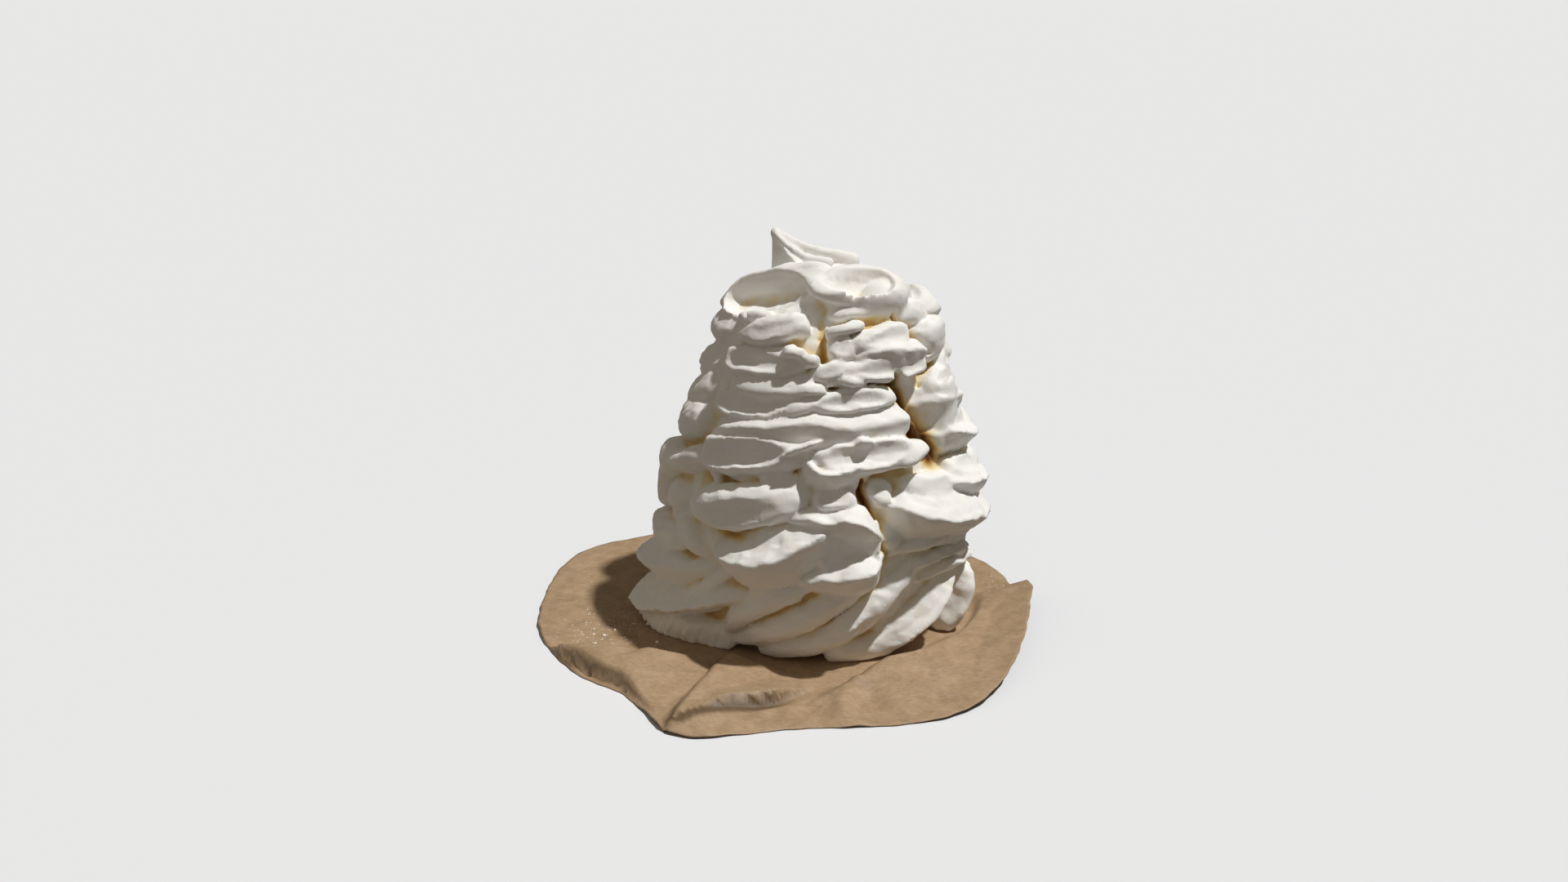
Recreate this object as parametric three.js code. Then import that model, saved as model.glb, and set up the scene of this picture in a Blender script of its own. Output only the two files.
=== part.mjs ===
// A tall meringue, spooned up in bands round a core, baked on a round of brown baking paper.
// Millimetres, +Z up. The origin is on the floor, on the meringue's axis; -Y is the front.
// A turn is an angle round the axis in degrees: 0 is the front (-Y), 90 the right (+X).
import * as THREE from 'three';
import { mergeVertices } from 'three/addons/utils/BufferGeometryUtils.js';

// driving dimensions
const PAPER_THICKNESS = 0.5;
const FOOT = 0.8;                 // underside of the meringue: 0.3 above the paper
const SIDE_TOP = 84;              // below this the skin is traced by level rays, above it by a fan of rays
const COLUMNS = 96;
const SIDE_ROWS = 34;
const DOME_ROWS = 18;
const OUTSIDE = 74;               // a radius clear of the meringue all round
// radius and height of the core that the bands are laid on, from the floor to the middle of the top
const CORE = [[36, 0], [40, 4], [42.8, 12], [44.8, 22], [45.6, 30], [44.6, 41], [41.6, 52], [38.2, 62],
  [34.8, 72], [32.3, 82], [29.8, 91], [26, 98], [19, 103], [10, 106], [0, 107]];
const PAPER_CENTRE = [-11, -10];
const PAPER_COLUMNS = 72;
const PAPER_RINGS = 12;
const CLEARANCE = 2;              // least gap between the raised paper and the meringue
const DEG = Math.PI / 180;

const clamp = (x, low, high) => Math.min(Math.max(x, low), high);
const step = (a, b, x) => { const t = clamp((x - a) / (b - a), 0, 1); return t * t * (3 - 2 * t); };
function roll(seed, k) {
  const v = Math.sin(seed * 12.9898 + k * 78.233) * 43758.5453;
  return v - Math.floor(v);
}

// corner-cutting turns a short line of points into a smooth one
function rounded(points, times) {
  let line = points;
  for (let n = 0; n < times; n += 1) {
    const next = [line[0]];
    for (let i = 0; i + 1 < line.length; i += 1) {
      const [a, b] = [line[i], line[i + 1]];
      next.push(a.map((v, k) => v * 0.75 + b[k] * 0.25), a.map((v, k) => v * 0.25 + b[k] * 0.75));
    }
    next.push(line[line.length - 1]);
    line = next;
  }
  return line;
}

// soft joins and cuts of two distances
function smin(a, b, k) {
  const h = clamp(0.5 + 0.5 * (b - a) / k, 0, 1);
  return b * (1 - h) + a * h - k * h * (1 - h);
}
const smax = (a, b, k) => -smin(-a, -b, k);

// a gentle wobble of about -1 to 1, a sum of four slanting waves
function wobble(x, y, z, seed, scale) {
  let sum = 0;
  for (let i = 0; i < 4; i += 1) {
    const g = seed * 12.9898 + i * 78.233;
    const a = [Math.sin(g * 1.37), Math.sin(g * 2.37), Math.sin(g * 3.37)];
    const along = (x * a[0] + y * a[1] + z * a[2]) / Math.hypot(...a);
    sum += Math.sin(along * (1 + 0.55 * i) * 2 * Math.PI / scale + g) / (1 + 0.6 * i);
  }
  return sum / 2.2;
}

// the core's outline: arc is the length along it from the floor, depth the distance out from it
const OUTLINE = rounded(CORE, 3);
const ARC = [0];
for (let i = 1; i < OUTLINE.length; i += 1) {
  ARC.push(ARC[i - 1] + Math.hypot(OUTLINE[i][0] - OUTLINE[i - 1][0], OUTLINE[i][1] - OUTLINE[i - 1][1]));
}
function between(x, xs, ys) {
  if (x <= xs[0]) return ys[0];
  for (let i = 1; i < xs.length; i += 1) {
    if (x <= xs[i]) return ys[i - 1] + (ys[i] - ys[i - 1]) * (x - xs[i - 1]) / (xs[i] - xs[i - 1]);
  }
  return ys[ys.length - 1];
}
const arcAt = (height) => between(height, OUTLINE.map((p) => p[1]), ARC);
const radiusAt = (arc) => between(arc, ARC, OUTLINE.map((p) => p[0]));
function fromCore(radius, z) {
  let best = 1e9, arc = 0, side = 1;
  for (let i = 1; i < OUTLINE.length; i += 1) {
    const [a, b] = [OUTLINE[i - 1], OUTLINE[i]];
    const length = ARC[i] - ARC[i - 1];
    const [ex, ey] = [(b[0] - a[0]) / length, (b[1] - a[1]) / length];
    const along = clamp((radius - a[0]) * ex + (z - a[1]) * ey, 0, length);
    const [dx, dy] = [radius - a[0] - along * ex, z - a[1] - along * ey];
    const d = Math.hypot(dx, dy);
    if (d < best) { best = d; arc = ARC[i - 1] + along; side = Math.sign(dx * ey - dy * ex) || 1; }
  }
  return [arc, best * side];
}

// distance to a rounded lump of half sizes a, b, c; an end power of 2 is pointed and a larger one blunt,
// and a cross power n of 2 is round and a larger one boxy
function lump(u, v, w, a, b, c, [left, right], n = 2) {
  const p = u < 0 ? left : right;
  const [s, y, z] = [Math.abs(u / a) + 1e-5, Math.abs(v / b) + 1e-5, Math.abs(w / c) + 1e-5];
  const q = (y ** n + z ** n) ** (1 / n);
  const k = (s ** p + q ** p) ** (1 / p);
  const g = k ** (1 - p);
  const across = g * q ** (p - n) * Math.hypot(y ** (n - 1) / b, z ** (n - 1) / c);
  const slope = Math.hypot(g * s ** (p - 1) / a, across) + 1e-6;
  return clamp((k - 1) / slope, -8, 12);
}
// the angle from one turn to another, -180 to 180
const turned = (turn, from) => ((turn - from + 540) % 360 + 360) % 360 - 180;

// every stroke changes the distance f at a point q, in the order in which the strokes are laid
const STROKES = [];

// a spoonful laid round the core: a lump with a hollow pressed in its face. rise and half are its half
// height and half length, reach its height off the core; lean pushes the lower lip out
function band(turn, height, half, rise, {
  tilt = 0, reach = 6, hollow = 0, lean = 0.35, bend = 0, ends = [3, 3], blend = 0.5, rim = 1, depth = 7,
  up = 0.1, sharp = 0.4, taper = 0, shift = 0, tuck = 0.3, boxy = 3,
} = {}) {
  const arc = arcAt(height);
  const radius = radiusAt(arc) + 3;
  const [c, s] = [Math.cos(tilt * DEG), Math.sin(tilt * DEG)];
  const wide = half + rise + 6;
  const tall = Math.hypot(rise, half * s) + Math.abs(bend) + 6;
  STROKES.push((q, f) => {
    const [a, b] = [turned(q.turn, turn) * DEG * radius, q.arc - arc];
    if (Math.abs(a) > wide || Math.abs(b) > tall) return f;
    const u = a * c + b * s;
    const v = (-a * s + b * c - bend * (u / half) ** 2) / clamp(1 + taper * u / half, 0.3, 1.7);
    const w = q.out + lean * v;
    const joined = smin(f, lump(u, v, w - (reach - depth), half, rise, depth, ends, boxy), blend);
    if (!hollow) return joined;
    return smax(joined, -lump(u - shift, v - up * rise, w - (reach + hollow) - tuck * v, half - rim,
      rise - rim * 0.5, hollow * 2, ends), sharp);
  });
}

// distance from (u, v) to a line of points, which side of it, and how far along it, 0 to 1
function alongLine(line, u, v) {
  let best = 1e9, side = 0, part = 0;
  for (let i = 1; i < line.length; i += 1) {
    const [a, b] = [line[i - 1], line[i]];
    const length = Math.hypot(b[0] - a[0], b[1] - a[1]);
    const [ex, ey] = [(b[0] - a[0]) / length, (b[1] - a[1]) / length];
    const along = clamp((u - a[0]) * ex + (v - a[1]) * ey, 0, length);
    const [dx, dy] = [u - a[0] - along * ex, v - a[1] - along * ey];
    const d = Math.hypot(dx, dy);
    if (d < best) {
      best = d; side = dy * ex - dx * ey; part = (line.run[i - 1] + along) / line.run[line.length - 1];
    }
  }
  return [best, side, part];
}
// a line with the distances run along it up to each of its points
function measured(line) {
  line.run = [0];
  for (let i = 1; i < line.length; i += 1) {
    line.run.push(line.run[i - 1] + Math.hypot(line[i][0] - line[i - 1][0], line[i][1] - line[i - 1][1]));
  }
  return line;
}
// [turn, height] points unrolled at the radius of the core there
function unrolled(points) {
  const line = rounded(points.map(([turn, height, ...rest]) => [turn, arcAt(height), ...rest]), 2);
  const middle = line.reduce((t, p) => t + p[0], 0) / line.length;
  const arcs = line.map((p) => p[1]);
  const [lo, hi] = [Math.min(...arcs), Math.max(...arcs)];
  const radius = radiusAt((lo + hi) / 2) + 3;
  const span = Math.max(...line.map((p) => Math.abs(p[0] - middle)));
  const path = measured(line.map((p) => [(p[0] - middle) * DEG * radius, p[1]]));
  return { line, middle, lo, hi, radius, span, path };
}

// a long fold along a line of [turn, height] points, tapering to its ends
function fold(points, thick, reach, { lean = 0, blend = 0.9, low = -3, ends = [0.3, 0.3] } = {}) {
  const { middle, lo, hi, radius, span, path } = unrolled(points);
  STROKES.push((q, f) => {
    const dt = turned(q.turn, middle);
    if (Math.abs(dt) > span + thick * 2.5 || q.arc < lo - thick - 5 || q.arc > hi + thick + 5) return f;
    const [d, side, part] = alongLine(path, dt * DEG * radius, q.arc);
    const size = Math.min(ends[0] + (1 - ends[0]) * clamp(part * 3.2, 0, 1) ** 0.7,
      ends[1] + (1 - ends[1]) * clamp((1 - part) * 3.2, 0, 1) ** 0.7);
    const t = thick * size;
    const c = (reach - low) * (0.25 + 0.75 * size);
    const w = Math.max(q.out + lean * side - low, 0);
    const k = Math.hypot(d / t, w / c);
    return smin(f, clamp(k * (k - 1) / (Math.hypot(d / t ** 2, w / c ** 2) + 1e-6), -6, 12), blend);
  });
}

// a shelf along a lip of [turn, height, reach] points: its top falls back by up, its underside by down
function ledge(points, { up, down, rise, scoop = 0, crisp = 0.7, blend = 0.4 }) {
  const { line, middle, lo, hi, radius, span, path } = unrolled(points);
  const reaches = line.map((p) => p[2]);
  const parts = path.run.map((run) => run / path.run[path.run.length - 1]);
  const deep = Math.max(...reaches) / down;
  STROKES.push((q, f) => {
    const dt = turned(q.turn, middle);
    if (Math.abs(dt) > span + 8 || q.arc > hi + rise + 2 || q.arc < lo - deep - 2) return f;
    const [d, side, part] = alongLine(path, dt * DEG * radius, q.arc);
    const past = Math.sqrt(Math.max(d * d - side * side, 0));
    const w = q.out - between(part, parts, reaches) + 1.5 * past;
    const top = (w + up * side + scoop * Math.sin(Math.PI * clamp(side / rise, 0, 1))) / Math.hypot(1, up);
    const under = (w - down * side) / Math.hypot(1, down);
    return smin(f, clamp(Math.max(smax(top, under, crisp), side - rise), -6, 12), blend);
  });
}

// a spoonful on the shoulder or the top: its middle is at a radius and height, its face looks out and up
function crown(turn, radius, z, face, half, rise, {
  tilt = 0, reach = 5, hollow = 0, depth = 6, ends = [3, 3], blend = 0.5, sharp = 0.6, rim = 1.1, shift = 0,
  up = 0, bend = 0, lean = 0,
} = {}) {
  const [cf, sf] = [Math.cos(face * DEG), Math.sin(face * DEG)];
  const [ct, st] = [Math.cos(tilt * DEG), Math.sin(tilt * DEG)];
  STROKES.push((q, f) => {
    const a = turned(q.turn, turn) * DEG * radius;
    if (Math.abs(a) > half + 5 || q.z < z - rise - 14 || q.z > z + rise + 16) return f;
    const [dr, dz] = [q.radius - radius, q.z - z];
    const b = -dr * sf + dz * cf;
    const u = a * ct + b * st;
    const v = -a * st + b * ct - bend * (u / half) ** 2;
    const w = dr * cf + dz * sf + lean * v;
    const joined = smin(f, lump(u, v, w - (reach - depth), half, rise, depth, ends), blend);
    if (!hollow) return joined;
    return smax(joined, -lump(u - shift, v - up, w - (reach + hollow), half - rim, rise - rim * 0.5,
      hollow * 2, ends), sharp);
  });
}

// a point's place along, up and out from a face in open space with this centre, heading and slope
function inSpace(centre, way, tilt, face) {
  const [cw, sw] = [Math.cos(way * DEG), Math.sin(way * DEG)];
  const [ct, st] = [Math.cos(tilt * DEG), Math.sin(tilt * DEG)];
  const along = new THREE.Vector3(cw * ct, sw * ct, st);
  const look = new THREE.Vector3(sw * Math.cos(face * DEG), -cw * Math.cos(face * DEG), Math.sin(face * DEG));
  look.addScaledVector(along, -look.dot(along)).normalize();
  const rising = look.clone().cross(along);
  return (q) => {
    const p = new THREE.Vector3(q.plain[0] - centre[0], q.plain[1] - centre[1], q.plain[2] - centre[2]);
    return [along.dot(p), rising.dot(p), look.dot(p)];
  };
}
const near = (q, centre, far) => Math.abs(q.x - centre[0]) < far && Math.abs(q.y - centre[1]) < far
  && Math.abs(q.z - centre[2]) < far;

// a straight spoonful in open space: the middle of its face, its heading and slope, how far it looks up
function spoonful(centre, way, tilt, face, half, rise, {
  depth = 7, ends = [3, 3], blend = 0.5, bend = 0, boxy = 3.5,
} = {}) {
  const place = inSpace(centre, way, tilt, face);
  STROKES.push((q, f) => {
    if (!near(q, centre, half + rise + 8)) return f;
    const [u, v, w] = place(q);
    return smin(f, lump(u, v - bend * (u / half) ** 2, w + depth, half, rise, depth, ends, boxy), blend);
  });
}

// what the spoon took out again: the middle of its bowl, and its half sizes
function scoop(centre, way, tilt, face, half, rise, deep, {
  ends = [2.4, 2.4], sharp = 0.5, bend = 0, boxy = 3,
} = {}) {
  const place = inSpace(centre, way, tilt, face);
  STROKES.push((q, f) => {
    if (!near(q, centre, half + rise + 6)) return f;
    const [u, v, w] = place(q);
    return smax(f, -lump(u, v - bend * (u / half) ** 2, w, half, rise, deep, ends, boxy), sharp);
  });
}

// a drying crack along [turn, height] points
function crack(points, width, depth) {
  for (let i = 1; i < points.length; i += 1) {
    const [a, b] = [points[i - 1], points[i]];
    const [arcA, arcB, arc] = [arcAt(a[1]), arcAt(b[1]), arcAt((a[1] + b[1]) / 2)];
    const turn = (a[0] + b[0]) / 2;
    const ds = (b[0] - a[0]) * DEG * (radiusAt((arcA + arcB) / 2) + 3);
    const length = Math.hypot(ds, arcB - arcA);
    const [ex, ey] = [ds / length, (arcB - arcA) / length];
    STROKES.push((q, f) => {
      const [u, v] = [turned(q.turn, turn) * DEG * (radiusAt(arc) + 3), q.arc - arc];
      if (Math.abs(u) > length / 2 + width * 2 + 4 || Math.abs(v) > length / 2 + width * 2 + 4) return f;
      const d = Math.hypot(Math.max(Math.abs(u * ex + v * ey) - length / 2, 0), -u * ey + v * ex);
      return smax(f, -Math.max(d - width, -(q.out + depth)), 0.8);
    });
  }
}

// a tapering rod between two points, and a ridge made of several
function rod(q, a, b, ra, rb) {
  const d = b.map((v, i) => v - a[i]);
  const p = [q.x - a[0], q.y - a[1], q.z - a[2]];
  const k = clamp((p[0] * d[0] + p[1] * d[1] + p[2] * d[2]) / (d[0] ** 2 + d[1] ** 2 + d[2] ** 2), 0, 1);
  return Math.hypot(p[0] - k * d[0], p[1] - k * d[1], p[2] - k * d[2]) - (ra + (rb - ra) * k);
}
function spike(a, b, ra, rb, blend) {
  STROKES.push((q, f) => (q.z < 98 ? f : smin(f, rod(q, a, b, ra, rb), blend)));
}
function ridge(points, radii, blend) {
  STROKES.push((q, f) => {
    if (q.z < 98) return f;
    let d = rod(q, points[0], points[1], radii[0], radii[1]);
    for (let i = 2; i < points.length; i += 1) {
      d = smin(d, rod(q, points[i - 1], points[i], radii[i - 1], radii[i]), 0.6);
    }
    return smin(f, d, blend);
  });
}

// swept folds of the foot, all round the back
for (let k = 0; k < 10; k += 1) {
  const a = 78 + 22 * k;
  fold([[a, -1], [a + 14, 4], [a + 28, 10], [a + 40, 18], [a + 50, 27]], 5.2, 5.5, { lean: -0.3 });
}
// left foot: a spread base with a lip of its own, then two drooping shelves
ledge([[-112, 4, 8], [-96, 6, 14], [-80, 7.5, 17], [-66, 6, 16], [-53, 3.4, 13.5], [-46, 3, 9.5],
  [-36, 3.5, 6.5]], { up: 0.8, down: 3, rise: 6 });
ledge([[-124, 7, 4], [-104, 8.5, 12], [-90, 9.5, 17.5], [-76, 10.8, 19.5], [-60, 12.2, 14], [-46, 16.4, 10],
  [-33, 19.8, 7.5], [-25, 21.5, 3.5]], { up: 2.4, down: 1.7, rise: 5, scoop: 0.6 });
band(-84, 27, 15, 4.6, { reach: 7, hollow: 0.8, lean: 0.2, ends: [2.6, 2.2], blend: 0.6 });
ledge([[-118, 15, 4], [-98, 20, 11], [-78, 21.4, 13.5], [-64, 22.5, 9.5], [-50, 25, 6], [-42, 27, 2.5]],
  { up: 1.7, down: 0.8, rise: 5, scoop: 0.8 });
band(-66, 29, 11, 4.4, { tilt: 18, reach: 5.5, hollow: 1.2, lean: 0.2, ends: [2.2, 2.2], blend: 0.6 });
band(-54, 34, 10, 3.2, { tilt: -30, reach: 4.6, hollow: 1, lean: 0.1, ends: [2, 2], blend: 0.6 });
// front foot: folds sweeping up to the right, the lowest two deepest, and a leaf at the right
fold([[-28, 20], [-19, 24.5], [-10, 30], [-4, 33]], 3.2, 4.4, { lean: 0.1 });
fold([[-43, 4], [-34, 11], [-24, 17], [-13, 22], [-4, 26], [6, 29]], 4.6, 5.6, { lean: -0.2 });
fold([[-36, 4], [-20, 9], [-7, 14], [3, 19], [10, 23], [16, 27], [21, 31]], 4.8, 5.8, { lean: -0.2,
  ends: [0.6, 0.3] });
fold([[-22, 4], [-8, 5], [3, 8], [12, 13.5], [20, 18], [26, 22], [32, 26.5], [38, 29.5]], 4.8, 5.6,
  { lean: -0.2, ends: [0.8, 0.35] });
fold([[6, 4], [18, 3.5], [30, 6], [40, 10.5], [50, 15], [55, 20], [60, 24.5]], 4.8, 5.8, { lean: -0.2,
  ends: [0.9, 0.4] });
ledge([[-1, 8, 4], [5, 10, 7], [10.5, 13.4, 7.6], [16, 17.6, 6], [21, 22, 3]], { up: 1.1, down: 0.9,
  rise: 4 });
ledge([[22, 5.5, 4.5], [30, 7, 7.5], [40, 11.5, 8], [49, 16, 7], [56, 21, 4], [60, 24, 1.5]], { up: 1,
  down: 0.9, rise: 5 });
ledge([[3, 20.5, 3], [7, 23, 5.6], [11, 26, 5], [14.4, 29, 2.5]], { up: 1.2, down: 0.7, rise: 3 });
band(68, 10, 11.5, 4.6, { tilt: 66, reach: 7.5, hollow: 1.2, lean: -0.35, ends: [2.6, 2.3], blend: 0.5 });
fold([[26, 33.5], [36, 35], [51, 34], [70, 30.5]], 2.2, 4.6, { lean: -0.2, blend: 0.6 });
fold([[31, 28], [40, 29.5], [52, 30], [72, 27]], 2.2, 4.8, { lean: -0.2, blend: 0.6 });
fold([[40, 22], [50, 25.5], [62, 26], [80, 22]], 2.2, 4.4, { lean: -0.2, blend: 0.6 });
band(9, 36.5, 9.5, 7, { reach: 7, hollow: 2.2, lean: 0.2, ends: [3, 6], blend: 0.4 });
ledge([[-38, 33.4, 4.5], [-31, 33, 8.5], [-22, 32.6, 11], [-16.5, 33.6, 12], [-10, 36.2, 11.6],
  [-4, 39.4, 10.5], [2, 42.6, 9], [7, 44.5, 5]], { up: 1.15, down: 0.9, rise: 9, scoop: 1 });
ledge([[-5.5, 28.6, 5.5], [0, 29.2, 8.6], [5, 30.6, 10.6], [10, 31.2, 11.6], [14.6, 32, 12], [18, 33, 9]],
  { up: 1.5, down: 1.1, rise: 5, scoop: 0.4 });
band(-2, 46, 10.5, 3, { tilt: 4, reach: 6, lean: 0.5, ends: [2, 2.6] });
ledge([[-9, 45, 4], [-2, 45, 8.6], [4, 44.4, 10], [8.6, 45, 11.2], [12, 44.6, 11.6], [15.4, 42.6, 11],
  [18.6, 40.4, 8]], { up: 1.7, down: 1.2, rise: 4.5, scoop: 0.5 });
band(5, 51, 6.5, 3.6, { tilt: 3, reach: 6, hollow: 0.8, lean: 0.5 });
// right: crumbly lumps, then the big overhanging lobe, widest place of all
band(27, 41, 6, 6.5, { tilt: -5, reach: 1.8, ends: [2.5, 2.5], blend: 0.6 });
band(23, 51, 4.6, 4.6, { tilt: -11, reach: 3.5, ends: [2.5, 2.5], blend: 0.6 });
ledge([[25.5, 46.5, 4.5], [31, 44.6, 9.5], [40, 42, 11.5], [52, 39.8, 11.5], [66, 37.4, 9.6], [80, 35, 7.6],
  [96, 33, 7], [112, 33, 3.5]], { up: 0.75, down: 1.3, rise: 9, scoop: 0.6 });
band(45, 50.5, 11, 3.6, { tilt: -6, reach: 6, lean: 0.3, hollow: 0.6, ends: [2.6, 3] });
band(71, 49.5, 13, 5, { tilt: -18, reach: 6.4, hollow: 2.2, lean: 0.4, up: 0.4 });
ledge([[49, 51, 3.5], [57, 48.5, 9], [68, 46, 9.5], [80, 44, 8.5], [94, 43, 7], [108, 44, 3]], { up: 1.2,
  down: 1.2, rise: 4, scoop: 0.4 });
// left edge, bottom to top
band(-80, 50.5, 10, 5.5, { reach: 7, lean: 0.1, ends: [2.5, 2.5], blend: 0.6, boxy: 2.2 });
fold([[-88, 36], [-84, 44], [-75, 50], [-63, 53.5], [-52, 56], [-44, 55], [-41, 51]], 4.2, 6.2,
  { ends: [0.8, 0.5], blend: 0.6 });
band(-68, 42, 9, 5, { tilt: 8, reach: 3.6, lean: 0.1, ends: [2.3, 2.3], blend: 0.6 });
// the big lens-shaped spoonful and the half-covered ones beside it
band(-28, 46.8, 20.5, 6.8, { tilt: 11, reach: 8.2, hollow: 1.3, lean: 0.1, ends: [2, 2.1], up: -0.15,
  rim: 1.6, bend: 0.5, blend: 0.3, boxy: 2.3 });
band(-14, 55, 10, 3.2, { tilt: -14, reach: 5, hollow: 0.8, ends: [2.5, 2], blend: 0.4 });
band(4, 55, 8.5, 2.8, { tilt: -12, reach: 4, hollow: 0.5, ends: [2, 2], blend: 0.4 });
band(-31, 56, 7, 3.4, { tilt: 6, reach: 3, ends: [2.5, 2.5], blend: 0.8 });
band(-71, 64.5, 10, 7.5, { tilt: 10, reach: 5.8, lean: 0.1, ends: [2.3, 2.3], blend: 0.8, boxy: 2.3 });
band(-76, 73, 13, 6, { tilt: 24, reach: 3.8, ends: [2.3, 2.3], blend: 1 });
band(-80, 82, 16, 7, { tilt: 12, reach: 1.8, ends: [2.3, 2.3], blend: 0.8 });
band(-82, 94, 14, 7.5, { tilt: 0, reach: 1.8, ends: [3, 3], blend: 0.6 });
ledge([[-50, 62.4, 4], [-40, 66, 7.4], [-28, 67.8, 8.4], [-14, 68.8, 8.4], [-3, 70, 8], [10, 68.4, 8.2],
  [24, 69, 8], [36, 69.6, 7]], { up: 0.95, down: 0.6, rise: 5 });
band(-26, 60.6, 18.5, 6, { tilt: 8, reach: 8.4, hollow: 3.2, lean: -0.04, ends: [3, 2], rim: 1.2,
  shift: -1.5, blend: 0.3 });
fold([[-18, 60], [-10, 62.6], [-3, 65], [4, 67.6]], 1.6, 9.4, { lean: 0.3, blend: 0.8 });
band(18, 60.8, 15.5, 5, { tilt: 2, reach: 8.8, hollow: 3.2, lean: -0.04, ends: [3, 2.6], rim: 1.1, up: 0.3,
  blend: 0.3 });
band(15.5, 64.6, 1.5, 2.3, { tilt: 75, reach: 9.6, ends: [2.2, 2.2], blend: 0.9 });
ledge([[-4, 60, 7], [-1, 57, 10], [5, 56.4, 10.4], [12, 58, 9.6], [18, 59.8, 7]], { up: 1.6, down: 1.3,
  rise: 3 });
band(34.5, 59.6, 7.5, 2.6, { tilt: 20, reach: 8.4, lean: 0.6, ends: [2, 2.2], blend: 0.5 });
band(-26, 74, 16.6, 4.2, { tilt: 8, reach: 7, hollow: 2.2, lean: 0.24, ends: [3.5, 2.2], shift: -1.2,
  bend: 0.8, blend: 0.3 });
band(15.5, 76, 13.5, 3.8, { tilt: 3, reach: 7, hollow: 2, lean: 0.24, ends: [3, 2.4], blend: 0.3 });
band(-9, 74.4, 7.5, 2.8, { tilt: 22, reach: 6.8, lean: 0.5, ends: [2, 2.4], blend: 0.5 });
band(-5, 79.4, 5.2, 2.2, { tilt: 5, reach: 7, lean: 0.2, ends: [2.2, 3], blend: 0.6 });
band(-22, 79.8, 15, 4.4, { tilt: 5, reach: 6.2, lean: 0.45, blend: 0.6 });
// upper front
band(14, 81.4, 4.4, 2, { tilt: -8, reach: 7.4, lean: 0.3, ends: [2.2, 2.2], blend: 0.6 });
band(7, 82.6, 6, 2.6, { tilt: 6, reach: 5, lean: 0.3, blend: 0.8 });
band(4, 84.4, 7, 2.8, { tilt: 14, reach: 6, hollow: 0.6, lean: 0.3, ends: [2, 2.4], blend: 0.5 });
band(32, 83.6, 15.5, 3.7, { tilt: -1, reach: 7.2, hollow: 1.9, lean: 0.16, ends: [2.4, 3.2], bend: 0.6,
  blend: 0.3 });
ledge([[17, 87.4, 5], [28, 88, 8], [40, 88, 8.6], [52, 87.4, 8], [58, 86, 5]], { up: 1.2, down: 0.8,
  rise: 3 });
band(11, 90, 5.3, 3.6, { tilt: 10, reach: 5, hollow: 1.2, lean: 0.3, ends: [2.5, 2], blend: 0.4 });
band(32, 91.2, 11, 3.4, { tilt: 9, reach: 6.8, hollow: 1.7, lean: 0.14, ends: [2.2, 2.8], bend: 0.4,
  blend: 0.3 });
band(13, 94.2, 8, 1.8, { tilt: 9, reach: 5.8, lean: 0.3, ends: [2, 2], blend: 0.5 });
band(-28, 85.8, 14.4, 4.7, { tilt: 5, reach: 6.6, hollow: 2.2, lean: 0.26, ends: [3, 2.2], shift: -1,
  blend: 0.3 });
band(-12, 88.6, 3.3, 1.7, { tilt: -10, reach: 8.6, lean: 0.2, ends: [2.5, 3], blend: 0.6 });
band(-5, 87, 2.6, 1.7, { tilt: 10, reach: 7.6, ends: [2.5, 3], blend: 0.6 });
// right flank: a torn wall beside the crack, short scalloped bands, then the blocky upper lobes
spoonful([33, -23.4, 68], -7, 90, 2, 12.5, 6, { depth: 9, blend: 0.8, boxy: 3 });
band(78, 75.5, 15, 4.4, { tilt: -11, reach: 5.8, hollow: 0.8, lean: 0.3, ends: [2.3, 3] });
ledge([[55, 72.4, 8.6], [60, 72, 9.8], [66, 71, 9], [78, 69, 7.8], [92, 66.6, 7], [106, 66, 3]], { up: 1.2,
  down: 0.9, rise: 3.4 });
band(80, 62.4, 14, 4.4, { tilt: -6, reach: 5.4, hollow: 0.7, lean: 0.1, ends: [3, 3] });
ledge([[57, 62, 8.4], [62, 61, 9.6], [70, 58.6, 9], [82, 56.4, 9], [96, 55, 7.6], [110, 56, 3]], { up: 1.1,
  down: 1.6, rise: 3.4 });
band(86, 80, 9, 3.6, { reach: 5.4, hollow: 0.8 });
band(70, 87.4, 9.5, 6.4, { tilt: -2, reach: 7, lean: -0.35, ends: [2.8, 2.8], blend: 0.4 });
band(66, 95.4, 8.5, 3.6, { tilt: -10, reach: 5, lean: -0.2, ends: [2.6, 2.6], blend: 0.5 });
// petals and torn walls under the crown
band(-27.6, 93.2, 12, 3.5, { tilt: 13, reach: 6.8, hollow: 1, lean: 0.16, ends: [1.9, 3.2], taper: 0.2,
  bend: 0.5, blend: 0.3 });
band(24, 98.6, 11, 3.2, { reach: 3.6, lean: 0.1, ends: [2.5, 2.5], blend: 0.6 });
band(-42, 97, 9, 2.6, { tilt: 6, reach: 3, ends: [2.5, 2.5], blend: 0.6 });
for (let column = 0; column < 5; column += 1) {
  let height = 31 + 2.3 * column;
  for (let level = 0; level < 9; level += 1) {
    const seed = 16 * column + level;
    const rise = 4.4 + 1.5 * roll(seed, 1) - 0.5;
    if (height < 95) {
      band(108 + 29 * column + 10 * roll(seed, 2) - 5, height, 21 - 0.09 * height + 3 * roll(seed, 3), rise,
        { tilt: 13 * roll(seed, 4) - 4, reach: 5.6 + 2.2 * roll(seed, 5), hollow: 0.8 + 1.4 * roll(seed, 6),
        lean: 0.4, ends: [2.1 + 1.3 * roll(seed, 7), 2.1 + roll(seed, 8)], bend: 1.6 * roll(seed,
        9) - 0.6 });
    }
    height = height + 1.9 * rise;
  }
}
for (let k = 0; k < 4; k += 1) {
  crown(97 + 41 * k, 20, 98, 44, 13, 6.5, { tilt: 6, reach: 5, hollow: 1.8, ends: [3, 2.4] });
}
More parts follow.
